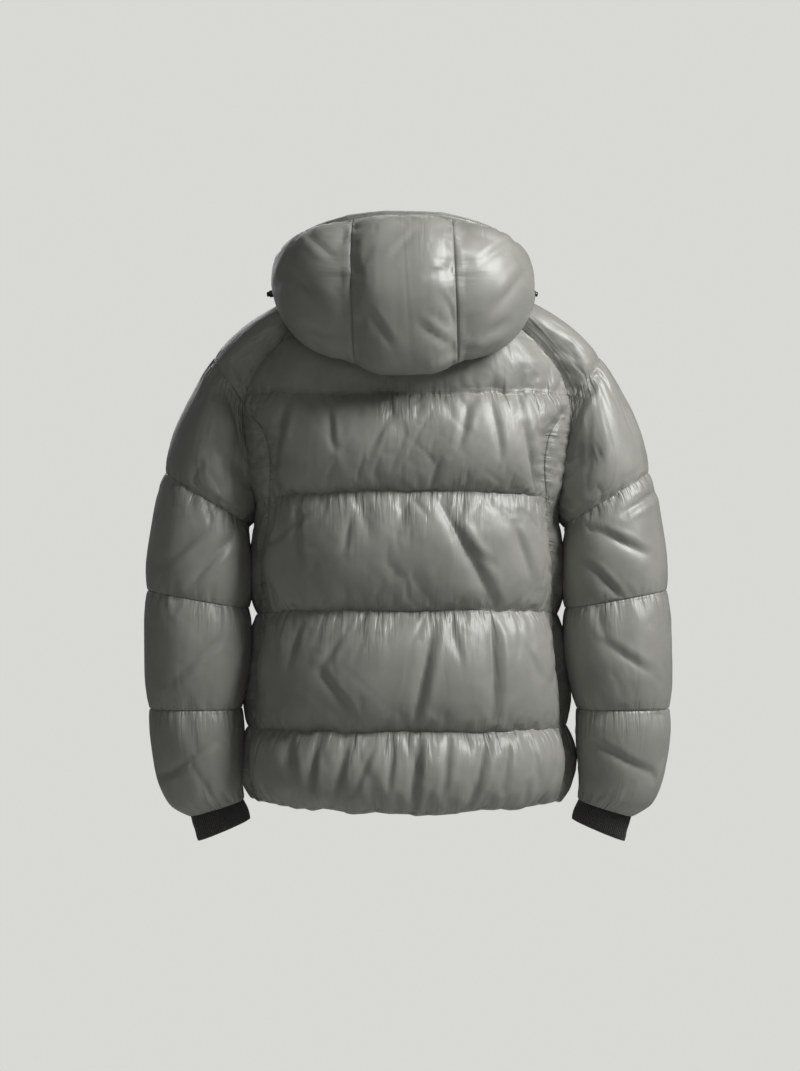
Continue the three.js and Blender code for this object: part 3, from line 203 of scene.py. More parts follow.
# the same for the seam between the back, or the front, and the side panel
side_seam = np.array([
    (-135, 60.5, 59.5), (-165, 49, 52), (-200, 46.5, 49), (-232, 48.5, 50), (-255, 53, 54),
    (-272, 57.5, 58), (-325, 63, 63), (-392, 65, 65), (-531, 68, 68), (-630, 66, 66),
], float)
quilt_heights = [36, -122, -255, -392, -531, -630]
raglan_corner = -135
underarm_height = -272
neck_low, neck_high, neck_blend = -45, -10, -75


def smooth(t):
    t = np.clip(t, 0, 1)
    return t * t * (3 - 2 * t)


def between(a, b, t):
    return a + (b - a) * t


def curve(rows, column, at):
    """One column of a table read on a smooth curve through its rows."""
    way = 1 if rows[-1, 0] > rows[0, 0] else -1
    x, y = rows[:, 0] * way, rows[:, column]
    at = np.asarray(at, float) * way
    slope = np.empty_like(y)
    slope[1:-1] = (y[2:] - y[:-2]) / (x[2:] - x[:-2])
    slope[0] = (y[1] - y[0]) / (x[1] - x[0])
    slope[-1] = (y[-1] - y[-2]) / (x[-1] - x[-2])
    i = np.clip(np.searchsorted(x, at, side="left") - 1, 0, len(x) - 2)
    span = x[i + 1] - x[i]
    t = np.clip((at - x[i]) / span, 0, 1)
    return ((2 * t**3 - 3 * t**2 + 1) * y[i] + (t**3 - 2 * t**2 + t) * span * slope[i]
            + (3 * t**2 - 2 * t**3) * y[i + 1] + (t**3 - t**2) * span * slope[i + 1])


def body_point(angle, height, side):
    """A point on the body's inside, its angle counted from the middle of the back."""
    sine, cosine = np.sin(angle * degree), np.cos(angle * degree)
    fill = 1 + 0.072 * (2 * sine * cosine) ** 2
    depth = np.where(cosine > 0, curve(body_form, 2, height), curve(body_form, 3, height))
    x = side * curve(body_form, 1, height) * sine * fill
    y = curve(body_form, 4, height) + depth * cosine * fill
    return np.stack(np.broadcast_arrays(x, y, height * np.ones_like(x)), -1)


def unit(v):
    return v / np.maximum(np.linalg.norm(v, axis=-1, keepdims=True), 1e-9)


def body_facing(angle, height, side):
    around = body_point(angle + 0.5, height, side) - body_point(angle - 0.5, height, side)
    down = body_point(angle, height - 0.5, side) - body_point(angle, height + 0.5, side)
    return unit(np.cross(around, down) * np.asarray(side)[..., None])


def seated(flat, angle, front):
    """The true height of a level line, which rises over the shoulder blades and at the neck."""
    across = 180 - angle if front else angle
    rise = curve(middle_rises, 1, flat) * np.maximum(0, 1 - (across / 75) ** 2.5)
    height = flat + rise + 11 * np.clip((-531 - flat) / 99, 0, 1) * smooth(across / 90)
    if front:
        neck = between(neck_low, neck_high, smooth(across / arm_seam[0, 2]))
        above = between(neck_blend, neck, (flat - neck_blend) / (36 - neck_blend))
        height = np.where(flat > neck_blend, above, height)
    return height


def fullness(at, lines):
    """How full a band is, from 0 at its quilting lines to 1 at its crown."""
    lines = np.asarray(lines, float)
    i = np.clip(np.searchsorted(lines, at, side="right") - 1, 0, len(lines) - 2)
    t = np.clip((at - lines[i]) / (lines[i + 1] - lines[i]), 0, 1)
    return (4 * t * (1 - t)) ** 0.6


def edge_fullness(distance, reach):
    return 1 - (1 - np.clip(distance / reach, 0, 1)) ** 2


def trough(folds, x, z):
    """Depth of the large folds: each has two ends, a width and a depth."""
    depth = np.zeros(np.broadcast(x, z).shape)
    for ax, az, bx, bz, width, deep in folds:
        along = np.array([bx - ax, bz - az], float)
        t = np.clip(((x - ax) * along[0] + (z - az) * along[1]) / (along @ along), 0, 1)
        away = np.hypot(x - ax - t * along[0], z - az - t * along[1]) / (width / 2)
        taper = np.sin(math.pi * between(0.12, 0.88, t))
        crease = 0.42 * np.exp(-(away * 1.25) ** 2) + 0.58 * np.exp(-np.abs(away * 3.6) ** 1.1)
        across = (x - ax) * along[1] - (z - az) * along[0]
        lip = 0.3 * np.exp(-((away - 0.9) / 0.45) ** 2) * (across > 0)
        depth = depth + deep * taper * (crease - lip) * (1 - np.clip(depth / 9, 0, 0.8))
    return depth


def rumple(x, y, size, seed):
    """Smooth unevenness from -1 to 1 whose bumps have a given size."""
    grid = np.random.default_rng(seed).uniform(-1, 1, (61, 67))
    gx, gy = np.broadcast_arrays(np.asarray(x) / size, np.asarray(y) / size)
    ix, iy = np.floor(gx).astype(int), np.floor(gy).astype(int)
    fx, fy = smooth(gx - ix), smooth(gy - iy)
    low = between(grid[ix % 61, iy % 67], grid[(ix + 1) % 61, iy % 67], fx)
    high = between(grid[ix % 61, (iy + 1) % 67], grid[(ix + 1) % 61, (iy + 1) % 67], fx)
    return between(low, high, fy)


def gathers(s, d, span, seed, every=9.5, reach=(12, 70), deep=(0.9, 3.4), wide=(2.4, 4.4)):
    """Depth of the puckers that a seam draws in, s along the seam and d away from it."""
    dice = np.random.default_rng(seed)
    count = max(3, int((span[1] - span[0]) / every))
    centre = np.linspace(*span, count) + dice.uniform(-0.45, 0.45, count) * every
    long = dice.random(count) ** 2.4
    reaches = between(reach[0], reach[1], long)
    depths = between(deep[0], deep[1], 0.45 * dice.random(count) + 0.55 * long)
    widths = dice.uniform(*wide, count) * (1 + 0.5 * long)
    leans = dice.normal(0, 0.2, count)
    bends = dice.normal(0, 0.004, count)
    total = np.zeros(np.broadcast(s, d).shape)
    for c, r, a, w, m, b in zip(centre, reaches, depths, widths, leans, bends):
        away = (s - c - m * d - b * d * d) / (w * (0.75 + 0.9 * np.clip(d / r, 0, 1)))
        fade = np.clip(1 - d / r, 0, 1) ** 0.85
        total = np.maximum(total, 0.55 * total) + a * np.exp(-np.abs(away) ** 1.5) * fade
    return total


def crumple(s, d, seed, amount=1.0):
    """Soft creases over the middle of a band, running mostly away from its lines."""
    ridge = 1 - np.abs(rumple(s + 0.35 * d, d * 0.45, 17, seed))
    broad = rumple(s - 0.2 * d, d * 0.6, 38, seed + 1)
    slanted = 1 - np.abs(rumple(s * 0.7 - 0.8 * d, d * 0.5 + 0.3 * s, 27, seed + 2))
    return amount * (1.1 * broad - 0.35 * ridge**5 - 0.5 * slanted**6)


def spread(lines, step):
    """Rows from line to line, a little closer together near the lines."""
    rows = [lines[0]]
    for a, b in zip(lines, lines[1:]):
        count = max(2, int(round(abs(b - a) / step)))
        t = np.arange(1, count + 1) / count
        t = between(t, (1 - np.cos(math.pi * t)) / 2, 0.45)
        rows.extend(between(a, b, t))
    return np.array(rows, float)


def ruffle(flat, s, lines, seed):
    """A stitched line wanders a little, because the cloth on both sides is gathered."""
    shift = np.zeros(np.broadcast(flat, s).shape)
    for k, line in enumerate(lines[1:-1]):
        sway = 1.2 * rumple(s, k * 90.0, 8, seed) + 1.6 * rumple(s, k * 70.0, 37, seed + 5)
        shift = shift + sway * np.exp(-((flat - line) / 13) ** 2)
    return shift


def quilted(s, flat, lines, seed, amount=1.0):
    """The puckers of all the level lines of a panel, and the creases between them."""
    depth = np.zeros(np.broadcast(s, flat).shape)
    span = (float(np.min(s)) - 5, float(np.max(s)) + 5)
    for k, (top, low) in enumerate(zip(lines, lines[1:])):
        inside = (flat <= top) & (flat > low) if k else flat > low
        from_top, from_low = np.maximum(top - flat, 0), np.maximum(flat - low, 0)
        band = 1.1 * gathers(s, from_top, span, seed + 10 * k)
        share, reach = (1.5, (16, 74)) if k == len(lines) - 2 else (0.7, (8, 42))
        band = band + share * gathers(s, from_low, span, seed + 10 * k + 4, reach=reach)
        nearest = np.minimum(from_top, from_low)
        band = band * smooth(nearest / 4) - crumple(s, flat, seed + 10 * k + 7) * smooth(nearest / 30)
        depth = depth + np.where(inside, band, 0)
    return depth * amount


def seam_chart(s, flat, lines, from_seam):
    """Places along and away from the nearest stitched line, and how strongly it gathers there."""
    s, flat, from_seam = np.broadcast_arrays(s, flat, from_seam)
    along, away = flat.copy(), from_seam.copy()
    strength = (0.8 + 0.5 * rumple(flat, 3.0, 19, 903)) * np.exp(-from_seam / 11)
    second = np.zeros(strength.shape)
    for k, line in enumerate(lines):
        for sign, share, reach in ((1, 1.0, 17), (-1, 1.1 if k == len(lines) - 1 else 0.55, 10)):
            gap = (line - flat) * sign
            uneven = 1 + 0.75 * rumple(s, k * 60.0 + sign, 21, 901)
            here = np.where(gap >= 0, share * uneven * np.exp(-np.abs(gap) / (reach * uneven)), 0)
            nearer = here > strength
            along, away = np.where(nearer, s, along), np.where(nearer, np.abs(gap), away)
            second = np.maximum(second, np.minimum(here, strength))
            strength = np.where(nearer, here, strength)
    lead = np.clip((strength - second) / np.maximum(strength, 1e-6) - 0.12, 0, 0.5) * 2
    return np.stack([along, away], -1), strength * lead


def panel_mesh(name, skins, stride=4):
    """A closed padded piece. Each skin is a fine outer grid over a coarser inner one."""
    points, faces, looks, held, charts, seams, gathered = [], [], [], [], [], [], []
    count = 0
    for skin in skins:
        outer, inner = skin["outer"], skin["inner"]
        rows, columns = outer.shape[:2]
        ri = sorted({*range(0, rows, stride), rows - 1, *skin.get("keep_rows", ())})
        ci = sorted({*range(0, columns, stride), columns - 1})
        out = count + np.arange(rows * columns).reshape(rows, columns)
        ins = count + rows * columns + np.arange(len(ri) * len(ci)).reshape(len(ri), len(ci))
        count += rows * columns + len(ri) * len(ci)
        points.append(outer.reshape(-1, 3))
        points.append(inner[np.ix_(ri, ci)].reshape(-1, 3))
        charts.append(skin["chart"].reshape(-1, 2))
        charts.append(np.zeros((len(ri) * len(ci), 2)))
        seams.append(skin["seam"][0].reshape(-1, 2))
        seams.append(np.zeros((len(ri) * len(ci), 2)))
        gathered.append(skin["seam"][1].reshape(-1))
        gathered.append(np.zeros(len(ri) * len(ci)))
        held.append(skin["held"].reshape(-1).astype(float))
        held.append(np.ones(len(ri) * len(ci)))
        shell = np.stack([out[:-1, :-1], out[1:, :-1], out[1:, 1:], out[:-1, 1:]], -1).reshape(-1, 4)
        back = np.stack([ins[:-1, :-1], ins[:-1, 1:], ins[1:, 1:], ins[1:, :-1]], -1).reshape(-1, 4)
        faces.extend(shell.tolist())
        looks.extend([0] * len(shell))
        faces.extend(back.tolist())
        looks.extend([1] * len(back))
        for r, k in ((0, 0), (rows - 1, len(ri) - 1)):
            for j, (a, b) in enumerate(zip(ci, ci[1:])):
                edge = [int(out[r, c]) for c in range(b, a - 1, -1)]
                faces.append([int(ins[k, j]), int(ins[k, j + 1]), *edge])
                looks.append(0)
        closed = skin.get("closed", {})
        for c, j in ((0, 0), (columns - 1, len(ci) - 1)):
            for i, (a, b) in enumerate(zip(ri, ri[1:])):
                if a >= closed.get(c, rows):
                    continue
                edge = [int(out[r, c]) for r in range(b, a - 1, -1)]
                faces.append([int(ins[i, j]), int(ins[i + 1, j]), *edge])
                looks.append(0)
    points = np.concatenate(points) * 0.001
    charts, seams = np.concatenate(charts) * 0.001, np.concatenate(seams) * 0.001
    held, gathered = np.concatenate(held), np.concatenate(gathered)
    mesh = bpy.data.meshes.new(name)
    mesh.from_pydata(points.tolist(), [], faces)
    mesh.polygons.foreach_set("material_index", looks)
    layer = mesh.uv_layers.new(name="cloth")
    corners = np.empty(len(mesh.loops), int)
    mesh.loops.foreach_get("vertex_index", corners)
    layer.data.foreach_set("uv", charts[corners].ravel())
    mesh.uv_layers.new(name="seam").data.foreach_set("uv", seams[corners].ravel())
    mesh.attributes.new("held", "FLOAT", "POINT").data.foreach_set("value", held)
    mesh.attributes.new("gathered", "FLOAT", "POINT").data.foreach_set("value", gathered)
    tidy = bmesh.new()
    tidy.from_mesh(mesh)
    bmesh.ops.remove_doubles(tidy, verts=tidy.verts, dist=2e-6)
    bmesh.ops.dissolve_degenerate(tidy, dist=1e-6, edges=tidy.edges)
    bmesh.ops.recalc_face_normals(tidy, faces=tidy.faces)
    tidy.to_mesh(mesh)
    tidy.free()
    mesh.polygons.foreach_set("use_smooth", [True] * len(mesh.polygons))
    piece = bpy.data.objects.new(name, mesh)
    bpy.context.scene.collection.objects.link(piece)
    piece.data.materials.append(nylon)
    piece.data.materials.append(taffeta)
    return piece


# Sleeve form
# Each raglan sleeve is one padded piece from the neck to the wrist, seamed to the back and the
# front along a slant, stitched through in four rings, and closed under the arm below the armhole.
sleeve_rows_of_seam = np.array([36, 8, -20, -48, -75, -100, -122, -135, -165, -200, -232, -255,
                                -268, -272], float)
# row, outer edge x and height, inner edge x and height, half depth, middle line, cut, pull
sleeve_form = np.array([
    (0, 80, 15, 20, 10, 58, 0, 98, 2), (1, 104, 6, 40, -14, 72, 3, 98, 2),
    (2, 130, -4, 65, -38, 83, 5, 99, 2), (3, 157, -18, 92, -66, 90, 6, 100, 2),
    (4, 181, -33, 118, -95, 93, 6, 101, 2), (5, 203, -49, 140, -122, 93, 5, 102, 2),
    (6, 222, -63, 152, -146, 92, 4, 104, 2), (7, 233, -75, 158, -160, 91, 4, 106, 2),
    (8, 249, -103, 165, -192, 89, 4, 112, 2), (9, 266, -137, 170, -225, 87, 4, 119, 3),
    (10, 279, -168, 180, -250, 84, 4, 132, 4), (11, 286, -190, 190, -265, 82, 4, 150, 7),
    (12, 291, -205, 196, -273, 80, 4, 166, 11), (13, 296, -217, 199, -279, 79, 4, 180, 14),
    (14, 299, -234, 203, -289, 77, 6, 180, 14), (16, 305, -276, 206, -318, 74, 10, 180, 14),
    (20, 317, -362, 202, -384, 70, 16, 180, 14), (23, 315, -434, 206, -446, 67, 18, 180, 14),
    (26, 314, -508, 211, -508, 63, 18, 180, 14), (28, 304, -566, 215, -558, 58, 16, 180, 14),
    (30, 289, -619, 215, -604, 50, 12, 180, 14), (31, 266, -641, 208, -624, 42, 10, 180, 14),
], float)
sleeve_lines = [0, 7, 13, 20, 26, 31]
armpit_row = 13
sleeve_swing = 10.0
sleeve_row_height = 23.0
sleeve_folds = {
    1: [(222, -92, 199, -190, 22, 9), (205, -150, 194, -225, 18, 7), (252, -292, 292, -330, 20, 6),
        (226, -300, 262, -352, 18, 5), (236, -420, 284, -470, 20, 5), (240, -545, 286, -585, 18, 4),
        (243, -110, 262, -170, 18, 4)],
    -1: [(-226, -100, -196, -186, 22, 9), (-208, -150, -192, -215, 18, 7), (-250, -120, -272, -180, 18, 5),
         (-240, -290, -286, -318, 20, 6), (-228, -330, -262, -372, 18, 5), (-244, -424, -292, -462, 20, 5),
         (-238, -548, -288, -580, 18, 4), (-300, -240, -262, -268, 18, 5)],
}


def ring_point(row, angle, side, swing):
    """A point on the sleeve's inside, its angle counted from the outermost point to the back."""
    cosine, sine = np.cos(angle * degree), np.sin(angle * degree)
    fill = 1 + 0.072 * (2 * sine * cosine) ** 2
    out_x, out_z, in_x, in_z, depth, y = (curve(sleeve_form, k, row) for k in range(1, 7))
    x = side * ((out_x + in_x) / 2 + (out_x - in_x) / 2 * cosine * fill + swing)
    z = (out_z + in_z) / 2 + (out_z - in_z) / 2 * cosine * fill
    return np.stack(np.broadcast_arrays(x, y + depth * sine * fill, z), -1)


def sleeve_inside(side, rows, t):
    """The sleeve's inside as a grid: rows down the arm, t from the back seam to the front one."""
    row, t = rows[:, None], t[None, :]
    cut = np.where(row < armpit_row, curve(sleeve_form, 7, row), 180.0)
    pull = curve(sleeve_form, 8, row)
    swing = sleeve_swing * smooth((row - 20) / 11) if side < 0 else 0.0 * row
    points = ring_point(row, between(cut, -cut, t), side, swing)
    flat = np.interp(row, np.arange(14), sleeve_rows_of_seam)
    for face, sign, far in (("back", 1, t), ("front", -1, 1 - t)):
        angle = curve(arm_seam, 1 if face == "back" else 2, flat)
        turned = 180 - angle if face == "front" else angle
        seam = body_point(turned, seated(flat, turned, face == "front"), side)
        miss = seam - ring_point(row, sign * cut, side, swing)
        share = (1 - smooth(far * pull)) * (row <= armpit_row)
        points = points + miss * share[..., None]
    return points


def grid_facing(points, sign, wrap_from=None):
    """The way that each point of a grid faces, from its neighbours."""
    down = np.gradient(points, axis=0)
    right = np.gradient(points, axis=1)
    if wrap_from is not None:
        right[wrap_from:, 0] = points[wrap_from:, 1] - points[wrap_from:, -2]
        right[wrap_from:, -1] = right[wrap_from:, 0]
    return unit(np.cross(down, right) * sign)


sleeve_t = between(np.linspace(0, 1, 137), (1 - np.cos(np.linspace(0, math.pi, 137))) / 2, 0.25)
sleeve_rows = np.array(spread([k for k in sleeve_lines], grid_step / sleeve_row_height))
armpit_at = int(np.argmin(np.abs(sleeve_rows - armpit_row)))
sleeve_grids = {}
for side in (1, -1):
    inside = sleeve_inside(side, sleeve_rows, sleeve_t)
    facing = grid_facing(inside, -side, armpit_at + 1)
    seams = {}
    for face, column in (("back", 0), ("front", -1)):
        flat = np.interp(sleeve_rows[:armpit_at + 1], np.arange(14), sleeve_rows_of_seam)
        angle = curve(arm_seam, 1 if face == "back" else 2, flat)
        turned = 180 - angle if face == "front" else angle
        height = seated(flat, turned, face == "front")
        own = body_facing(turned, height, np.full(height.shape, side))
        ways = unit(own + facing[:armpit_at + 1, column])
        seams[face] = {"flat": flat, "point": inside[:armpit_at + 1, column], "way": ways}
    armpit = unit(seams["back"]["way"][-1] + seams["front"]["way"][-1])
    for face in seams:
        seams[face]["way"][-1] = armpit
    sleeve_grids[side] = {"inside": inside, "facing": facing, "seams": seams}


def towards(way, other, share):
    return unit(way * (1 - share[..., None]) + other * share[..., None])


def sleeve_piece(name, side):
    grid = sleeve_grids[side]
    inside, facing = grid["inside"], grid["facing"].copy()
    row, t = sleeve_rows[:, None], sleeve_t[None, :]
    beyond = np.maximum(0, row - armpit_row) * 22
    columns_away = np.minimum(t, 1 - t) * 18 * 15
    from_seam = np.hypot(columns_away, beyond)
    turn = np.abs(t - 0.5) * np.where(row > armpit_row, 2, 1)
    share = np.where(turn < 0.5, between(0.5, 1, smooth(turn * 2)), between(1, 0.5, smooth(turn * 2 - 1)))
    crown = 12 * share * between(0.15, 1, smooth((row - 1) / 5))
    full = fullness(row, sleeve_lines)
    wall = seam_wall + 1 + crown * full * smooth(from_seam / 66)
    wall = np.where(row < 0.2, seam_wall, wall)
    s = t * 440.0
    depth = np.zeros_like(wall)
    lines = [k * sleeve_row_height for k in sleeve_lines]
    flat = -row * sleeve_row_height
    depth = quilted(s, flat + 0 * s, [-k for k in lines], 300 + 40 * side, 0.8)
    depth += 1.2 * gathers(flat + 0 * s, from_seam + 0 * s, (-300, 0), 340 + side) * (from_seam < 80)
    shown = inside[..., 1] > sleeve_form[0, 6]
    depth += trough(sleeve_folds[side], inside[..., 0], inside[..., 2]) * shown * smooth(full * 1.6)
    front_folds = [(x * 1.02, z - 12, u * 1.02, w + 9, width, deep * 0.8)
                   for x, z, u, w, width, deep in sleeve_folds[-side]]
    mirrored = -inside[..., 0]
    depth += trough(front_folds, mirrored, inside[..., 2]) * (~shown) * smooth(full * 1.6)
    near = np.minimum(from_seam, 1e3 + 0 * from_seam)
    edges = smooth(near / 5) * smooth((row - 0.05) / 0.6) * smooth((31 - row) / 0.35)
    wall = wall - depth * edges * between(0.25, 1, smooth((row - 1.5) / 4))
    for face, far in (("back", t), ("front", 1 - t)):
        ways = np.repeat(grid["seams"][face]["way"][:, None], len(sleeve_t), 1)
        share = (1 - smooth(far * 440 / 16)) * np.ones_like(row[:armpit_at + 1])
        top = slice(0, armpit_at + 1)
        facing[top] = towards(facing[top], ways, share)
        wall[top] = between(wall[top], seam_wall, 1 - smooth(far * 440 / 7))
    wall = np.maximum(wall, 2.2)
    end = facing[-1]
    axis = np.array([side * (-641 + 624), 0, 208 - 266], float)
    axis /= np.linalg.norm(axis)
    facing[-1] = unit(end - (end @ axis)[:, None] * axis)
    outer = inside + facing * wall[..., None]
    held = np.zeros(wall.shape, bool)
    for line in sleeve_lines:
        held |= np.abs(row - line) < 0.02
    held[:armpit_at + 1, 0] = held[:armpit_at + 1, -1] = True
    chart = np.stack(np.broadcast_arrays(s, -flat), -1)
    closed = {0: armpit_at, len(sleeve_t) - 1: armpit_at}
    seam = seam_chart(s, flat, [-k for k in lines], from_seam)
    skin = {"outer": outer, "inner": inside, "held": held, "chart": chart, "seam": seam,
            "closed": closed, "keep_rows": (armpit_at,)}
    piece = panel_mesh(name, [skin])
    return piece, outer


shells = {}
sewn_lines = []
for name, side in (("sleeve_left", 1), ("sleeve_right", -1)):
    piece, outer = sleeve_piece(name + "_padded", side)
    shells[name] = piece
    for line in sleeve_lines[1:-1]:
        sewn_lines.append(outer[int(np.argmin(np.abs(sleeve_rows - line)))])

# Back, fronts and side panels
# The back is one wide panel. The fronts stop at the zip. A narrow side panel joins each front to
# the back, and runs up on both sides of the armhole to the corner of the raglan seam.
back_folds = [
    (-37, -252, -102, -380, 26, 9), (-132, -165, -152, -240, 24, 8), (140, -130, 158, -215, 24, 8),
    (-30, -400, -8, -520, 26, 8), (-14, -536, -5, -610, 24, 7), (-96, -392, -98, -515, 26, 8),
    (-92, -536, -71, -615, 24, 7), (67, -536, 85, -616, 24, 6), (140, -534, 121, -610, 22, 5),
    (38, -545, 60, -600, 16, 4), (112, -268, 150, -300, 18, 4), (-60, -300, -96, -330, 16, 3),
    (70, -410, 96, -452, 18, 4), (20, -150, 46, -196, 18, 3), (-72, -136, -60, -186, 18, 4),
    (100, -455, 60, -515, 18, 4), (-128, -420, -146, -470, 18, 4), (-118, -280, -140, -350, 20, 5),
    (-116, -538, -104, -600, 18, 5), (-140, -540, -146, -596, 16, 4), (104, -538, 108, -604, 18, 5),
    (16, -540, 22, -596, 16, 4), (-48, -540, -40, -606, 18, 5), (92, -136, 84, -190, 16, 4),
    (-98, -136, -106, -196, 16, 4), (124, -268, 120, -330, 16, 4), (64, -268, 70, -310, 14, 3),
    (122, -402, 132, -460, 16, 4), (-52, -402, -60, -450, 14, 3), (150, -408, 144, -470, 16, 4),
]
front_folds = [
    (40, -262, 88, -372, 26, 8), (-52, -270, -34, -340, 24, 6), (112, -400, 96, -500, 26, 7),
    (-70, -404, -104, -512, 26, 8), (-112, -540, -96, -612, 22, 5), (62, -538, 78, -610, 22, 6),
    (-90, -150, -60, -230, 22, 5), (96, -140, 70, -215, 22, 5), (132, -280, 110, -330, 18, 4),
    (-126, -275, -104, -345, 18, 5), (30, -410, 52, -470, 18, 4), (-36, -545, -56, -600, 18, 4),
]


def panel_edge(flat, face):
    column = 1 if face == "back" else 2
    return np.where(flat >= raglan_corner, curve(arm_seam, column, flat), curve(side_seam, column, flat))


def body_skin(flat, angle, side, s, from_seam, face, seed, armhole=None, flat_top=1.0):
    """The inner and outer grids of a body panel, from its level heights and its angles."""
    front = face == "front"
    flat, angle, side, s, from_seam = np.broadcast_arrays(flat, angle, side, s, from_seam)
    waved = flat + ruffle(flat, s, quilt_heights, seed) * smooth(from_seam / 12)
    hem = 2.2 * rumple(s, 0.0, 12, seed + 3) + 3.4 * rumple(s, 9.0, 33, seed + 4)
    waved = waved + hem * smooth((-560 - flat) / 70) * smooth(from_seam / 15)
    height = seated(waved, angle, front)
    inner = body_point(angle, height, side)
    facing = body_facing(angle, height, side)
    share = np.cos(angle * degree) ** 2
    crown = between(10.5, 24, share) * np.where(flat > -122, 0.7, 1)
    level = fullness(-flat, [-z for z in quilt_heights])
    nearest = from_seam if armhole is None else np.minimum(from_seam, armhole * 0.28)
    full = level * edge_fullness(nearest, 42) * smooth((36 - flat) / 75)
    wall = between(seam_wall, hem_wall, smooth((-531 - flat) / 90))
    folds = trough(front_folds if front else back_folds, inner[..., 0], inner[..., 2])
    puff = np.maximum(0, crown * full - folds * np.minimum(1, full * 2))
    depth = quilted(s, flat, quilt_heights, seed)
    depth = depth + 1.3 * gathers(flat, from_seam, (-640, 40), seed + 91, reach=(10, 46))
    ramp = smooth(from_seam / 5) * between(0.15, 1, smooth((36 - flat) / 90)) * smooth(full * 3)
    if armhole is not None:
        ramp = ramp * smooth(armhole / 14)
    outer_wall = np.maximum(wall + puff - depth * ramp, 2.4)
    return inner, facing, outer_wall, waved


def arm_way(flat, side, face):
    seam = sleeve_grids[side]["seams"][face]
    order = np.argsort(seam["flat"])
    return np.stack([np.interp(flat, seam["flat"][order], seam["way"][order, k]) for k in range(3)], -1)


def held_lines(flat, from_seam):
    held = np.zeros(np.broadcast(flat, from_seam).shape, bool)
    for line in quilt_heights:
        held |= np.abs(flat - line) < 0.05
    return held | (from_seam < 0.01)


body_rows = spread([36, -122, raglan_corner, -255, underarm_height, -392, -531, -630], grid_step)
flat = body_rows[:, None]

columns = between(np.linspace(-1, 1, 153), -np.cos(np.linspace(0, math.pi, 153)), 0.2)[None, :]
edge = panel_edge(flat, "back")
angle = np.abs(columns) * edge
side = np.where(columns < 0, -1, 1)
width = curve(body_form, 1, flat)
from_seam = (edge - angle) * degree * width
s = side * angle * degree * 200
inner, facing, wall, waved = body_skin(flat, angle, side, s, from_seam, "back", 20)
for sign, way in ((-1, -1), (1, 1)):
    ways = np.repeat(arm_way(body_rows, sign, "back")[:, None], columns.shape[1], 1)
    share = (1 - smooth(from_seam / 16)) * (flat >= raglan_corner) * (side == sign)
    facing = towards(facing, ways, share)
outer = inner + facing * wall[..., None]
chart = np.stack(np.broadcast_arrays(s, -flat), -1)
shells["back"] = panel_mesh("back_padded", [
    {"outer": outer, "inner": inner, "held": held_lines(flat, from_seam), "chart": chart,
     "seam": seam_chart(s, flat, quilt_heights, from_seam)}])
for line in quilt_heights[1:-1]:
    sewn_lines.append(outer[int(np.argmin(np.abs(body_rows - line)))])

zip_half, seam_gap = 7.0, 0.3
for name, side in (("front_left", 1), ("front_right", -1)):
    columns = between(np.linspace(0, 1, 78), (1 - np.cos(np.linspace(0, math.pi, 78))) / 2, 0.2)[None, :]
    edge = panel_edge(flat, "front")
    width = curve(body_form, 1, np.minimum(flat, neck_low))
    at_zip = (zip_half + seam_gap) / width / degree
    from_front = between(edge, at_zip, columns)
    side_away = (edge - from_front) * degree * width
    zip_away = (from_front - at_zip) * degree * width
    from_seam = np.minimum(side_away, zip_away * 1.3)
    s = side * from_front * degree * 200
    inner, facing, wall, waved = body_skin(flat, 180 - from_front, side, s, from_seam, "front", 120 + 30 * side)
    ways = np.repeat(arm_way(body_rows, side, "front")[:, None], columns.shape[1], 1)
    facing = towards(facing, ways, (1 - smooth(side_away / 16)) * (flat >= raglan_corner))
    facing[:, -1, 0] = 0
    facing[:, -1] = unit(facing[:, -1])
    inner[:, -1, 0] = side * (zip_half + seam_gap)
    outer = inner + facing * wall[..., None]
    chart = np.stack(np.broadcast_arrays(s, -flat), -1)
    shells[name] = panel_mesh(name + "_padded", [
        {"outer": outer, "inner": inner, "held": held_lines(flat, from_seam), "chart": chart,
         "seam": seam_chart(s, flat, quilt_heights, from_seam)}])
    for line in quilt_heights[1:-1]:
        sewn_lines.append(outer[int(np.argmin(np.abs(body_rows - line)))])

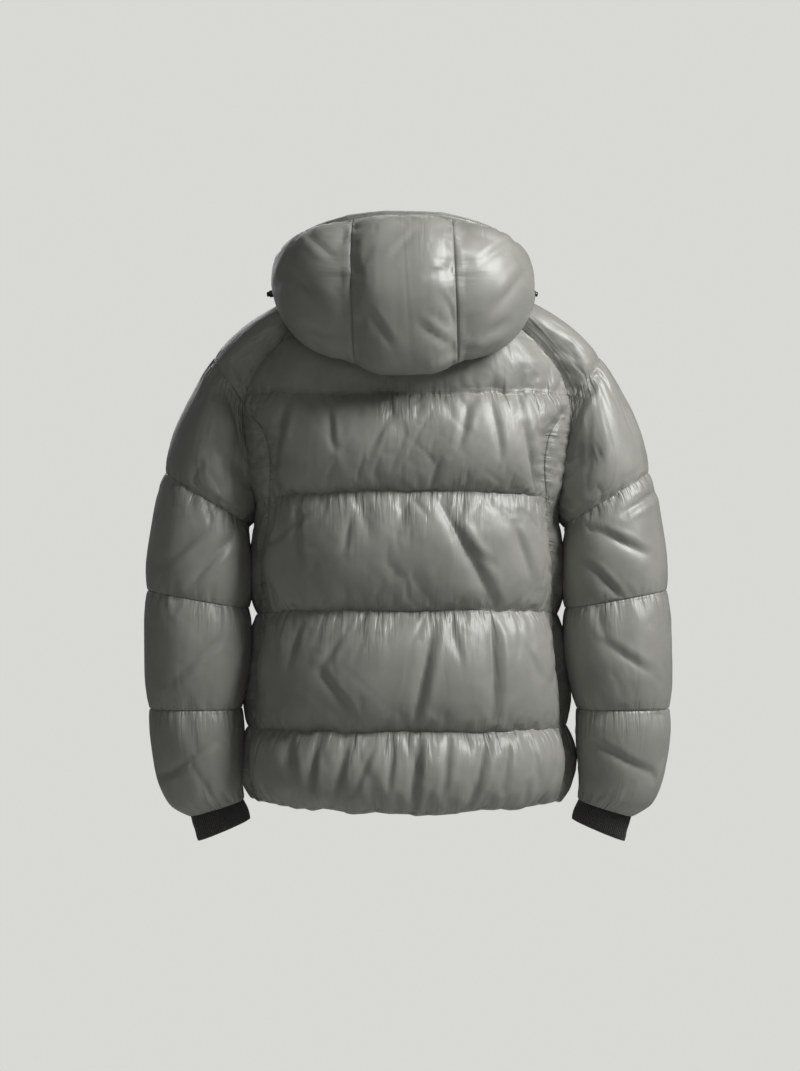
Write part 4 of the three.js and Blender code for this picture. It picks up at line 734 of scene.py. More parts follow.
low_rows = body_rows[body_rows <= raglan_corner + 0.01]
low = low_rows[:, None]
under_at = int(np.argmin(np.abs(low_rows - underarm_height)))
for name, side in (("side_left", 1), ("side_right", -1)):
    skins = []
    stitched = []
    for face in ("back", "front"):
        columns = np.linspace(0, 1, 26)[None, :]
        column = 1 if face == "back" else 2
        seam = panel_edge(low, face)
        arm = np.where(low >= underarm_height, curve(arm_seam, column, low), 90.0)
        from_middle = between(seam, arm, columns)
        width = curve(body_form, 1, low)
        from_seam = (from_middle - seam) * degree * width
        line = sleeve_grids[side]["seams"][face]["point"]
        angle = 180 - from_middle if face == "front" else from_middle
        there = body_point(angle, seated(low + 0 * angle, angle, face == "front"), side)
        armhole = np.min(np.linalg.norm(there[:, :, None] - line[None, None, ::3], axis=-1), axis=-1)
        s = from_middle * degree * 200 * (1 if face == "back" else -1)
        inner, facing, wall, waved = body_skin(low, angle, side, s, from_seam, face, 220 + 30 * side, armhole)
        ways = np.repeat(arm_way(low_rows, side, face)[:, None], columns.shape[1], 1)
        facing = towards(facing, ways, 1 - smooth(armhole / 24))
        at_arm = 1 - smooth(armhole / 8)
        wall = between(wall, seam_wall, at_arm)
        outer = inner + facing * wall[..., None]
        held = held_lines(low, from_seam)
        held[:under_at + 1, -1] = True
        chart = np.stack(np.broadcast_arrays(s, -low), -1)
        seam = seam_chart(s, low, quilt_heights, np.minimum(from_seam, armhole))
        skins.append({"outer": outer, "inner": inner, "held": held, "chart": chart, "seam": seam,
                      "closed": {columns.shape[1] - 1: under_at}, "keep_rows": (under_at,)})
        for line in quilt_heights[2:-1]:
            stitched.append(outer[int(np.argmin(np.abs(low_rows - line)))])
    shells[name] = panel_mesh(name + "_padded", skins)
    sewn_lines.extend(stitched)

# Hood
# The hood has a centre panel between two side panels, all padded. It lies down on the back, and
# its side panels run round the neck to the zip, where they make the collar.
# heading from the middle of the back, then distance out and height of each stage of the cloth
hood_form = np.array([
    (0, 84, 58, 137, -8, 186, -90, 224, -12, 205, 62, 154, 88),
    (18, 86, 57, 139, -6, 188, -86, 223, -8, 205, 60, 157, 86),
    (36, 90, 54, 144, 6, 188, -58, 214, 2, 198, 54, 165, 75),
    (52, 95, 49, 140, 27, 175, -18, 186, 10, 181, 40, 167, 57),
    (64, 97, 46, 130, 36, 156, 12, 161, 12, 162, 24, 159, 36),
    (78, 97, 43, 122, 38, 138, 24, 143, 15, 146, 13, 149, 14),
    (94, 97, 40, 116, 38, 128, 30, 136, 21, 141, 15, 146, 13),
    (112, 96, 31, 109, 34, 118, 32, 125, 28, 131, 25, 137, 24),
    (134, 91, 12, 98, 19, 106, 24, 113, 27, 120, 29, 126, 31),
    (156, 85, -13, 92, -1, 99, 10, 106, 20, 112, 29, 117, 36),
    (180, 81, -26, 88, -11, 95, 3, 102, 16, 108, 28, 113, 38),
], float)
centre_half = np.array([(0, 28), (1, 36), (2, 52), (3, 60), (4, 61), (5, 60), (6, 59)], float)


def neck_line():
    """The neck edge as headings, distances out and heights, of its inside and its outside."""
    a = np.linspace(0, 35, 20)
    back_in = body_point(a, seated(36 + 0 * a, a, False), 1)
    back_out = back_in + body_facing(a, seated(36 + 0 * a, a, False), 1 + 0 * a) * seam_wall
    grid = sleeve_grids[1]
    over_in, over_out = grid["inside"][0], grid["inside"][0] + grid["facing"][0] * seam_wall
    b = np.linspace(150, 180, 16)
    front_in = body_point(b, seated(36 + 0 * b, b, True), 1)
    front_out = front_in + body_facing(b, seated(36 + 0 * b, b, True), 1 + 0 * b) * seam_wall
    lines = []
    for parts in ((back_in, over_in[3:-3], front_in), (back_out, over_out[3:-3], front_out)):
        line = np.concatenate(parts)
        lines.append((np.hypot(line[:, 0], line[:, 1]), line[:, 2] + 1))
    line = np.concatenate((back_in, over_in[3:-3], front_in))
    heading = np.degrees(np.arctan2(np.abs(line[:, 0]), line[:, 1]))
    order = np.argsort(heading)
    return heading[order], [(out[order], z[order]) for out, z in lines]


neck_heading, neck_layers = neck_line()


def lean(heading, stage):
    """How far a point of the hood lies over to the wearer's left."""
    return 6 * smooth((130 - heading) / 50) * smooth((stage - 2) / 3)


def hood_point(heading, stage, side, layer=0):
    """A point on the hood's inside, by its heading round the neck and its stage along the cloth."""
    heading, stage, side = np.broadcast_arrays(np.asarray(heading, float), stage, side)
    outs = [np.interp(heading, neck_heading, neck_layers[layer][0])]
    rises = [np.interp(heading, neck_heading, neck_layers[layer][1])]
    for k in range(6):
        outs.append(curve(hood_form, 1 + 2 * k, heading))
        rises.append(curve(hood_form, 2 + 2 * k, heading))
    outs, rises = np.stack(outs), np.stack(rises)

    def along(track):
        slope = np.gradient(track, axis=0)
        slope[0], slope[-1] = track[1] - track[0], track[-1] - track[-2]
        i = np.clip(np.floor(stage).astype(int), 0, 5)
        t = stage - i
        pick = lambda a, k: np.take_along_axis(a, (i + k)[None], 0)[0]
        return ((2 * t**3 - 3 * t**2 + 1) * pick(track, 0) + (t**3 - 2 * t**2 + t) * pick(slope, 0)
                + (3 * t**2 - 2 * t**3) * pick(track, 1) + (t**3 - t**2) * pick(slope, 1))

    out, rise = along(outs), along(rises)
    turned = heading * degree
    x = side * out * np.sin(turned) + lean(heading, stage)
    return np.stack([x, out * np.cos(turned), rise], -1)


def heading_at(x, stage, front):
    """The heading at which a stage lies x from the middle line."""
    low = np.full(stage.shape, 90.0 if front else 0.0)
    high = np.full(stage.shape, 180.0 if front else 80.0)
    for _ in range(24):
        middle = (low + high) / 2
        wide = hood_point(middle, stage, 1)[..., 0] - lean(middle, stage) > x
        low = np.where(wide == front, middle, low)
        high = np.where(wide == front, high, middle)
    return (low + high) / 2


hood_stages = np.linspace(0, 6, 104)
hood_along = hood_stages * 36.0
centre_edge = heading_at(curve(centre_half, 1, hood_stages), hood_stages, False)
zip_edge = heading_at(zip_half + seam_gap, hood_stages, True)
hood_creases = [(-12, -40, -52, -66, 18, 5), (-40, -10, -60, -44, 16, 4), (20, 30, -8, 58, 16, 3),
                (40, -30, 18, -62, 16, 4), (-20, 10, -48, 20, 14, 3)]
side_creases = [(100, -20, 132, 20, 20, 5), (84, 34, 112, 58, 18, 4), (118, -38, 88, -52, 18, 4),
                (-98, -24, -128, 16, 20, 5), (-86, 30, -118, 52, 18, 4), (-112, -34, -84, -56, 18, 5),
                (-140, 4, -120, 40, 16, 4), (144, 8, 126, 44, 16, 4)]


def hood_skin(heading, side, sign, from_seam, gusset, s_across, folds, seed):
    stage = hood_stages[:, None]
    inner = hood_point(heading, stage, side)
    facing = grid_facing(inner, sign)
    row_away = hood_along[:, None]
    rim_away = hood_along[-1] - row_away
    full = edge_fullness(np.minimum(from_seam, rim_away), 34) * smooth(row_away / 48)
    calm = between(0.35, 1, smooth(np.abs(heading - 90) / 40))
    puff = 9 * full * calm
    s = row_away + 0 * heading
    depth = 1.9 * gathers(s, gusset + 0 * s, (-5, 225), seed, every=9.5, reach=(12, 52), deep=(0.8, 3.2))
    depth = depth + 0.9 * gathers(s_across + 0 * s, rim_away + 0 * s, (-400, 400), seed + 3,
                                  every=9, reach=(10, 42))
    depth = depth - crumple(s_across + 0 * s, s, seed + 5, 0.9) * smooth(from_seam / 26)
    shown = smooth((stage - 2.6) / 0.7)
    depth = depth + trough(folds, inner[..., 0], inner[..., 2]) * shown
    ramp = smooth(from_seam / 5) * smooth(rim_away / 5) * smooth(row_away / 60) * calm
    wall = np.maximum(seam_wall + puff - depth * ramp * between(0.45, 1, shown), 2.2)
    outer = inner + facing * wall[..., None]
    outer[0] = hood_point(heading[0], np.zeros(heading.shape[1]), side, 1)[...]
    held = (from_seam < 0.01) | (row_away < 0.01) | (rim_away < 0.01)
    chart = np.stack(np.broadcast_arrays(s_across + 0 * s, s), -1)
    seam = seam_chart(s_across + 0 * s, rim_away + 0 * s, [0], gusset + 0 * s)
    return {"outer": outer, "inner": inner, "held": held + np.zeros(s.shape, bool), "chart": chart,
            "seam": seam}


columns = np.linspace(-1, 1, 45)[None, :]
reach = curve(centre_half, 1, hood_stages)[:, None]
heading = np.abs(columns) * centre_edge[:, None]
side = np.where(columns < 0, -1, 1)
from_seam = (1 - np.abs(columns)) * reach
centre_skin = hood_skin(heading, side, 1, from_seam, from_seam, columns * reach, hood_creases, 400)
shells["hood_centre"] = panel_mesh("hood_centre_padded", [centre_skin])
hood_skins = {}
for name, side in (("hood_side_left", 1), ("hood_side_right", -1)):
    columns = between(np.linspace(0, 1, 116), (1 - np.cos(np.linspace(0, math.pi, 116))) / 2, 0.15)[None, :]
    heading = between(centre_edge[:, None], zip_edge[:, None], columns)
    column_away = np.minimum(columns, 1 - columns) * 15 * 18
    gusset = columns * 15 * 22.0
    hood_skins[side] = hood_skin(heading, side, side, column_away, gusset, side * columns * 360,
                                 side_creases, 430 + 20 * side)
    edge_x = hood_skins[side]
    for layer in ("outer", "inner"):
        edge_x[layer][:, -1, 0] = side * (zip_half + seam_gap)
    shells[name] = panel_mesh(name + "_padded", [edge_x])

# Pressed padding
# Each padded piece is blown up a little from inside, with its stitched lines and seams held
# fast and a little too much cloth between them, as in the sewn one, so that it creases by itself.
puff_frames = 14
puff_pressure = 1.6
spare_cloth = 0.014
most_swell = 0.003
scene = bpy.context.scene
starts = {}
for name, piece in shells.items():
    values = np.empty(len(piece.data.vertices))
    piece.data.attributes["held"].data.foreach_get("value", values)
    group = piece.vertex_groups.new(name="held")
    group.add(np.nonzero(values > 0.4)[0].tolist(), 1.0, "REPLACE")
    start = np.empty(len(values) * 3)
    piece.data.vertices.foreach_get("co", start)
    starts[name] = (start.reshape(-1, 3), values > 0.4)
    cloth = piece.modifiers.new("puff", "CLOTH")
    cloth.settings.quality = 4
    cloth.settings.mass = 0.08
    cloth.settings.tension_stiffness = 12
    cloth.settings.compression_stiffness = 12
    cloth.settings.shear_stiffness = 4
    cloth.settings.bending_stiffness = 0.02
    cloth.settings.air_damping = 3
    cloth.settings.vertex_group_mass = "held"
    cloth.settings.pin_stiffness = 1
    cloth.settings.shrink_min = -spare_cloth
    cloth.settings.use_pressure = True
    cloth.settings.uniform_pressure_force = puff_pressure
    cloth.settings.effector_weights.gravity = 0
    cloth.point_cache.frame_start = 1
    cloth.point_cache.frame_end = puff_frames
for step in range(1, puff_frames + 1):
    scene.frame_set(step)
view = bpy.context.evaluated_depsgraph_get()
for name, piece in shells.items():
    mesh = piece.evaluated_get(view).data
    end = np.empty(len(mesh.vertices) * 3)
    mesh.vertices.foreach_get("co", end)
    start, fixed = starts[name]
    move = end.reshape(-1, 3) - start
    length = np.linalg.norm(move, axis=1, keepdims=True)
    print("puffed", name, "median", round(float(np.median(length[~fixed])) * 1000, 2),
          "most", round(float(length.max()) * 1000, 2))
    move *= np.minimum(1, most_swell / np.maximum(length, 1e-9))
    move[fixed] = 0
    piece.modifiers.clear()
    piece.vertex_groups.clear()
    piece.data.vertices.foreach_set("co", (start + move).ravel())
    piece.data.update()
scene.frame_set(1)
for name, piece in shells.items():
    piece.data.attributes.remove(piece.data.attributes["held"])
    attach(piece, "jacket")
    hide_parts(name)

# Rim band
# The casing round the hood's opening is a turned strip of the shell cloth with a hidden cord in
# it. It is stitched down along its lower edge and gathers into fine puckers there.
rim_height = 12.0
rim_section = [(0.0, 0.3), (2.7, 0.3), (6.4, 1.8), (7.3, 4.6), (6.9, 7.4), (5.2, 9.8), (2.8, 11.6),
               (0.6, 12.0), (-1.4, 9.6), (-2.2, 6.0), (-1.4, 2.4)]
edge_in = np.concatenate([hood_skins[-1]["inner"][-1, ::-1], centre_skin["inner"][-1, 1:-1],
                          hood_skins[1]["inner"][-1]])
edge_out = np.concatenate([hood_skins[-1]["outer"][-1, ::-1], centre_skin["outer"][-1, 1:-1],
                           hood_skins[1]["outer"][-1]])
before = np.concatenate([hood_skins[-1]["inner"][-4, ::-1], centre_skin["inner"][-4, 1:-1],
                         hood_skins[1]["inner"][-4]])
path = np.concatenate([[0], np.cumsum(np.linalg.norm(np.diff(edge_in, axis=0), axis=1))])
stops = np.linspace(0, path[-1], int(path[-1] / 2.6))
resample = lambda line: np.stack([np.interp(stops, path, line[:, k]) for k in range(3)], -1)
edge_in, edge_out, before = resample(edge_in), resample(edge_out), resample(before)
out_way = unit(edge_out - edge_in)
up_way = unit(edge_in - before)
up_way = unit(up_way - np.sum(up_way * out_way, -1, keepdims=True) * out_way)
rings = []
for k, (out, up) in enumerate(rim_section):
    pucker = gathers(stops, np.full(stops.shape, up * 1.2), (0, path[-1]), 610, every=6.5,
                     reach=(8, 17), deep=(0.5, 1.5), wide=(1.6, 3.0))
    swell = 0.5 * rumple(stops, k * 5.0, 16, 620) if 0 < out else 0
    out = np.maximum(out - pucker * (out > 3), -2.2) + swell
    ring = edge_in + out_way * np.reshape(out + 0 * stops, (-1, 1)) + up_way * up
    ring[0, 0], ring[-1, 0] = -(zip_half + seam_gap), zip_half + seam_gap
    rings.append(ring)
rings = np.stack(rings, 1)
count, sides = rings.shape[:2]
faces = []
for i in range(count - 1):
    for k in range(sides):
        n = (k + 1) % sides
        faces.append([i * sides + k, i * sides + n, (i + 1) * sides + n, (i + 1) * sides + k])
faces.append(list(range(sides)))
faces.append([(count - 1) * sides + k for k in range(sides)])


def plain_mesh(name, points, faces, materials, smooth_faces=True, chart=None):
    """A closed piece from points in millimetres, with its faces turned out."""
    mesh = bpy.data.meshes.new(name)
    mesh.from_pydata((np.asarray(points, float).reshape(-1, 3) * 0.001).tolist(), [], faces)
    if chart is not None:
        layer = mesh.uv_layers.new(name="cloth")
        corners = np.empty(len(mesh.loops), int)
        mesh.loops.foreach_get("vertex_index", corners)
        layer.data.foreach_set("uv", (np.asarray(chart).reshape(-1, 2) * 0.001)[corners].ravel())
    tidy = bmesh.new()
    tidy.from_mesh(mesh)
    bmesh.ops.remove_doubles(tidy, verts=tidy.verts, dist=2e-6)
    bmesh.ops.recalc_face_normals(tidy, faces=tidy.faces)
    tidy.to_mesh(mesh)
    tidy.free()
    mesh.polygons.foreach_set("use_smooth", [smooth_faces] * len(mesh.polygons))
    piece = bpy.data.objects.new(name, mesh)
    bpy.context.scene.collection.objects.link(piece)
    for material in materials:
        piece.data.materials.append(material)
    return piece


around = np.arange(sides) * 3.0
chart = np.stack(np.broadcast_arrays(stops[:, None], around[None, :]), -1)
rim = plain_mesh("hood_rim_band", rings, faces, [nylon], chart=chart)
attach(rim, "jacket")
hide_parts("hood_rim")

# Stitches
# Every quilting line is sewn through with polyester thread of the shell's own colour, about
# three millimetres to a stitch. So is the line along the foot of the hood's casing.
thread = cloth_material("sewing_thread", (0.15, 0.15, 0.136), (0.12, 0.12, 0.108), 0.55, 0.2,
                        threads=(5200.0, 0.1))
stitch_length, stitch_gap, stitch_wide = 0.0026, 0.0034, 0.0004


def stitch_tree():
    tree = bpy.data.node_groups.new("stitches", "GeometryNodeTree")
    tree.interface.new_socket("Geometry", in_out="INPUT", socket_type="NodeSocketGeometry")
    for name, value in (("Spacing", stitch_gap), ("Length", stitch_length), ("Radius", stitch_wide)):
        socket = tree.interface.new_socket(name, in_out="INPUT", socket_type="NodeSocketFloat")
        socket.default_value = value
    tree.interface.new_socket("Geometry", in_out="OUTPUT", socket_type="NodeSocketGeometry")
    put_in, put_out = tree.nodes.new("NodeGroupInput"), tree.nodes.new("NodeGroupOutput")
    to_curve = tree.nodes.new("GeometryNodeMeshToCurve")
    even = tree.nodes.new("GeometryNodeResampleCurve")
    even.mode = "LENGTH"
    tangent = tree.nodes.new("GeometryNodeInputTangent")
    turn = tree.nodes.new("FunctionNodeAlignEulerToVector")
    turn.axis = "Z"
    capsule = tree.nodes.new("GeometryNodeMeshUVSphere")
    capsule.inputs["Segments"].default_value = 6
    capsule.inputs["Rings"].default_value = 4
    capsule.inputs["Radius"].default_value = 1.0
    size = tree.nodes.new("ShaderNodeCombineXYZ")
    half = tree.nodes.new("ShaderNodeMath")
    half.operation = "MULTIPLY"
    half.inputs[1].default_value = 0.5
    place = tree.nodes.new("GeometryNodeInstanceOnPoints")
    real = tree.nodes.new("GeometryNodeRealizeInstances")
    dress = tree.nodes.new("GeometryNodeSetMaterial")
    dress.inputs["Material"].default_value = thread
    join(tree, put_in, "Geometry", to_curve, "Mesh")
    join(tree, to_curve, "Curve", even, "Curve")
    join(tree, put_in, "Spacing", even, "Length")
    join(tree, tangent, "Tangent", turn, "Vector")
    join(tree, put_in, "Length", half, 0)
    join(tree, put_in, "Radius", size, "X")
    join(tree, put_in, "Radius", size, "Y")
    join(tree, half, "Value", size, "Z")
    join(tree, even, "Curve", place, "Points")
    join(tree, capsule, "Mesh", place, "Instance")
    join(tree, turn, "Rotation", place, "Rotation")
    join(tree, size, "Vector", place, "Scale")
    join(tree, place, "Instances", real, "Geometry")
    join(tree, real, "Geometry", dress, "Geometry")
    join(tree, dress, "Geometry", put_out, "Geometry")
    return tree


def grown(name, lines, tree, values=None):
    """A plain mesh from a node tree that follows lines of points in millimetres."""
    points, edges = [], []
    for line in lines:
        start = len(points)
        points.extend((np.asarray(line) * 0.001).tolist())
        edges.extend((start + k, start + k + 1) for k in range(len(line) - 1))
    guide_mesh = bpy.data.meshes.new(name + "_guide")
    guide_mesh.from_pydata(points, edges, [])
    guide = bpy.data.objects.new(name + "_guide", guide_mesh)
    bpy.context.scene.collection.objects.link(guide)
    modifier = guide.modifiers.new("grow", "NODES")
    modifier.node_group = tree
    for item in tree.interface.items_tree:
        if values and item.in_out == "INPUT" and item.name in values:
            modifier[item.identifier] = values[item.name]
    view = bpy.context.evaluated_depsgraph_get()
    mesh = bpy.data.meshes.new_from_object(guide.evaluated_get(view))
    mesh.name = name
    piece = bpy.data.objects.new(name, mesh)
    bpy.context.scene.collection.objects.link(piece)
    bpy.data.objects.remove(guide)
    return piece


stitches = stitch_tree()
rim_line = edge_in + out_way * 6.2 + up_way * 1.9
seam_thread = grown("seam_stitches", sewn_lines + [rim_line], stitches)
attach(seam_thread, "jacket")

# Cuffs
# Each cuff is a tube of dark rib knit, stretched a little where it is sewn into the sleeve's end
# and rolled over at its free edge. The ribs run along the arm.
rib_knit = cloth_material("rib_knit", (0.030, 0.030, 0.024), (0.021, 0.021, 0.017), 0.95, 0.35,
                          streaks=0.1, threads=(1400.0, 0.3))
# outer edge x and height, inner edge x and height, half depth, middle line
cuff_form = [(266, -641, 208, -624, 42, 10), (262, -655, 203, -634, 43, 9), (258, -673, 199, -648, 41, 7)]
rib_count = 84
cuff_wall = 3.0
for name, side in (("cuff_left", 1), ("cuff_right", -1)):
    swing = sleeve_swing if side < 0 else 0
    axis = np.array([side * (-641 + 624), 0, 208 - 266], float)
    axis /= np.linalg.norm(axis)
    along = np.linspace(0, 2, 15)
    forms = np.array([(k, *row) for k, row in enumerate(cuff_form)], float)
    t = np.arange(rib_count * 5) / (rib_count * 5)
    angle = (180 - 360 * t)[None, :]
    cosine, sine = np.cos(angle * degree), np.sin(angle * degree)
    fill = 1 + 0.072 * (2 * sine * cosine) ** 2
    rows = along[:, None]
    out_x, out_z, in_x, in_z, deep, y = (curve(forms, k, rows) for k in range(1, 7))
    x = side * ((out_x + in_x) / 2 + (out_x - in_x) / 2 * cosine * fill + swing)
    z = (out_z + in_z) / 2 + (out_z - in_z) / 2 * cosine * fill
    inside = np.stack(np.broadcast_arrays(x, y + deep * sine * fill, z), -1)
    inside += axis * 0.3 * (1 - rows[..., None] / 2)
    away = unit(inside - inside.mean(1, keepdims=True))
    away = unit(away - (away @ axis)[..., None] * axis)
    rib = 0.5 - 0.5 * np.cos(t * rib_count * 2 * math.pi)[None, :]
    pucker = 0.7 * rumple(t[None, :] * 260, rows * 20, 14, 700 + side)
    thick = cuff_wall + 1.1 * rib**0.7 + pucker * smooth(rows)
    roll = 0.9 * smooth((rows - 1.7) / 0.3)
    outer = inside + away * (thick - roll)[..., None]
    count, total = outer.shape[:2]
    points = np.concatenate([outer.reshape(-1, 3), inside.reshape(-1, 3)])
    faces = []
    for r in range(count - 1):
        for c in range(total):
            n = (c + 1) % total
            a, b, e, f = r * total + c, r * total + n, (r + 1) * total + n, (r + 1) * total + c
            faces.append([a, f, e, b])
            shift = count * total
            faces.append([a + shift, b + shift, e + shift, f + shift])
    for r in (0, count - 1):
        for c in range(total):
            n = (c + 1) % total
            faces.append([r * total + c, r * total + n, r * total + n + count * total,
                          r * total + c + count * total])
    chart = np.stack(np.broadcast_arrays(t[None, :] * 260, rows * 10), -1)
    chart = np.concatenate([chart.reshape(-1, 2), chart.reshape(-1, 2)])
    cuff = plain_mesh(name + "_knit", points, faces, [rib_knit], chart=chart)
    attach(cuff, "jacket")
    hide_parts(name)

# Zip
# The front closes on a moulded zip: two woven tapes, teeth that hook into each other, a slider
# with a bridge for its pull tab, and a box at the hem where the tapes join.
tape_cloth = cloth_material("zip_tape", (0.1, 0.096, 0.09), (0.075, 0.072, 0.068), 0.8, 0.15,
                            threads=(900.0, 0.3))


def metal_material(name, color, roughness):
    material = bpy.data.materials.new(name)
    material.use_nodes = True
    tree = material.node_tree
    shader = tree.nodes["Principled BSDF"]
    shader.inputs["Metallic"].default_value = 1.0
    place = tree.nodes.new("ShaderNodeTexCoord")
    wear = tree.nodes.new("ShaderNodeTexNoise")
    wear.inputs["Scale"].default_value = 420.0
    wear.inputs["Detail"].default_value = 4.0
    join(tree, place, "Object", wear, "Vector")
    tones = tree.nodes.new("ShaderNodeValToRGB")
    tones.color_ramp.elements[0].color = (*[c * 0.7 for c in color], 1)
    tones.color_ramp.elements[1].color = (*[c * 1.25 for c in color], 1)
    join(tree, wear, "Fac", tones, "Fac")
    join(tree, tones, "Color", shader, "Base Color")
    rough = tree.nodes.new("ShaderNodeMapRange")
    rough.inputs["To Min"].default_value = roughness * 0.75
    rough.inputs["To Max"].default_value = roughness * 1.3
    join(tree, wear, "Fac", rough, "Value")
    join(tree, rough, "Result", shader, "Roughness")
    return material


nickel = metal_material("dark_nickel", (0.13, 0.125, 0.12), 0.34)
zip_levels = np.concatenate([np.linspace(-630, 36, 150), []])
low_line = body_point(np.full(150, 180.0), seated(zip_levels, np.full(150, 180.0), True), 1)
high_line = hood_point(np.full(104, float(zip_edge[-1])), hood_stages, 1)[1:]
tip = high_line[-1] + unit(high_line[-1] - high_line[-4]) * 9
zip_path = np.concatenate([low_line, high_line, [tip]])
zip_path[:, 0] = 0
zip_way = unit(np.gradient(zip_path, axis=0))
zip_out = np.stack([np.zeros(len(zip_path)), -zip_way[:, 2], zip_way[:, 1]], -1)
for name, side in (("zip_tape_left", 1), ("zip_tape_right", -1)):
    profile = [(0.15, 0.8), (3.4, 0.8), (7.0, 0.8), (7.0, 2.0), (3.4, 2.2), (1.2, 2.4), (0.15, 2.4)]
    rings = np.stack([zip_path + zip_out * up + np.array([side * x, 0, 0]) for x, up in profile], 1)
    count, sides = rings.shape[:2]
    faces = [[i * sides + k, i * sides + (k + 1) % sides, (i + 1) * sides + (k + 1) % sides,
              (i + 1) * sides + k] for i in range(count - 1) for k in range(sides)]
    faces.append(list(range(sides)))
    faces.append([(count - 1) * sides + k for k in range(sides)])
    run = np.concatenate([[0], np.cumsum(np.linalg.norm(np.diff(zip_path, axis=0), axis=1))])
    chart = np.stack(np.broadcast_arrays(run[:, None], np.arange(sides)[None, :] * 3.0), -1)
    tape = plain_mesh(name + "_woven", rings, faces, [tape_cloth], chart=chart)
    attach(tape, "jacket")
    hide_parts(name)

tooth_gap, tooth_wide, tooth_high, tooth_deep = 0.0032, 0.0046, 0.0019, 0.0022


def tooth_tree():
    tree = bpy.data.node_groups.new("zip_teeth", "GeometryNodeTree")
    tree.interface.new_socket("Geometry", in_out="INPUT", socket_type="NodeSocketGeometry")
    for name, value in (("Spacing", tooth_gap), ("Width", tooth_wide), ("Height", tooth_high),
                        ("Depth", tooth_deep)):
        socket = tree.interface.new_socket(name, in_out="INPUT", socket_type="NodeSocketFloat")
        socket.default_value = value
    tree.interface.new_socket("Geometry", in_out="OUTPUT", socket_type="NodeSocketGeometry")
    put_in, put_out = tree.nodes.new("NodeGroupInput"), tree.nodes.new("NodeGroupOutput")
    to_curve = tree.nodes.new("GeometryNodeMeshToCurve")
    even = tree.nodes.new("GeometryNodeResampleCurve")
    even.mode = "LENGTH"
    tangent = tree.nodes.new("GeometryNodeInputTangent")
    turn = tree.nodes.new("FunctionNodeAlignEulerToVector")
    turn.axis = "Z"
    tooth = tree.nodes.new("GeometryNodeMeshCylinder")
    tooth.inputs["Vertices"].default_value = 8
    tooth.inputs["Radius"].default_value = 0.5
    tooth.inputs["Depth"].default_value = 1.0
    size = tree.nodes.new("ShaderNodeCombineXYZ")
    place = tree.nodes.new("GeometryNodeInstanceOnPoints")
    real = tree.nodes.new("GeometryNodeRealizeInstances")
    dress = tree.nodes.new("GeometryNodeSetMaterial")
    dress.inputs["Material"].default_value = nickel
    join(tree, put_in, "Geometry", to_curve, "Mesh")
    join(tree, to_curve, "Curve", even, "Curve")
    join(tree, put_in, "Spacing", even, "Length")
    join(tree, tangent, "Tangent", turn, "Vector")
    join(tree, put_in, "Width", size, "X")
    join(tree, put_in, "Depth", size, "Y")
    join(tree, put_in, "Height", size, "Z")
    join(tree, even, "Curve", place, "Points")
    join(tree, tooth, "Mesh", place, "Instance")
    join(tree, turn, "Rotation", place, "Rotation")
    join(tree, size, "Vector", place, "Scale")
    join(tree, place, "Instances", real, "Geometry")
    join(tree, real, "Geometry", dress, "Geometry")
    join(tree, dress, "Geometry", put_out, "Geometry")
    return tree


teeth_path = zip_path[6:-2]
teeth_out = zip_out[6:-2]
teeth_lines = [teeth_path + teeth_out * 2.9 + np.array([x, 0, 0]) for x in (-1.7, 1.7)]
teeth_lines[1] = teeth_lines[1][1:]
teeth = grown("zip_teeth", teeth_lines, tooth_tree())
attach(teeth, "jacket")


def finished_copy(node, name, material, bevel):
    """A CAD metal piece with its edges rounded as a casting's are."""
    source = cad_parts[node]
    mesh = source.data.copy()
    tidy = bmesh.new()
    tidy.from_mesh(mesh)
    bmesh.ops.remove_doubles(tidy, verts=tidy.verts, dist=1e-6)
    bmesh.ops.dissolve_limit(tidy, angle_limit=0.02, verts=tidy.verts, edges=tidy.edges)
    sharp = [e for e in tidy.edges if len(e.link_faces) == 2 and e.calc_face_angle() > 0.5]
    bmesh.ops.bevel(tidy, geom=sharp, offset=bevel, segments=3, profile=0.5, affect="EDGES",
                    clamp_overlap=True)
    tidy.to_mesh(mesh)
    tidy.free()
    mesh.materials.clear()
    mesh.materials.append(material)
    mesh.polygons.foreach_set("use_smooth", [True] * len(mesh.polygons))
    piece = bpy.data.objects.new(name, mesh)
    bpy.context.scene.collection.objects.link(piece)
    return piece


for node, name, body, bevel in (("zip_slider", "zip_slider_cast", "jacket", 0.0005),
                                ("pull_tab", "pull_tab_cast", "tab", 0.0003),
                                ("zip_box", "zip_box_cast", "jacket", 0.0006)):
    piece = finished_copy(node, name, nickel, bevel)
    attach(piece, body)
    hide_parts(node)

# Cord locks
# A small black plastic lock stands out of the casing at each side of the hood. It is a moulded
# barrel with a sprung button in its end. The hole across it for the cord is not built.


def plastic_material(name, color, roughness):
    material = bpy.data.materials.new(name)
    material.use_nodes = True
    tree = material.node_tree
    shader = tree.nodes["Principled BSDF"]
    place = tree.nodes.new("ShaderNodeTexCoord")
    grain = tree.nodes.new("ShaderNodeTexNoise")
    grain.inputs["Scale"].default_value = 2600.0
    join(tree, place, "Object", grain, "Vector")
    tones = tree.nodes.new("ShaderNodeValToRGB")
    tones.color_ramp.elements[0].color = (*[c * 0.8 for c in color], 1)
    tones.color_ramp.elements[1].color = (*[c * 1.3 for c in color], 1)
    join(tree, grain, "Fac", tones, "Fac")
    join(tree, tones, "Color", shader, "Base Color")
    shader.inputs["Roughness"].default_value = roughness
    bump = tree.nodes.new("ShaderNodeBump")
    bump.inputs["Strength"].default_value = 0.2
    bump.inputs["Distance"].default_value = 0.0001
    join(tree, grain, "Fac", bump, "Height")
    join(tree, bump, "Normal", shader, "Normal")
    return material


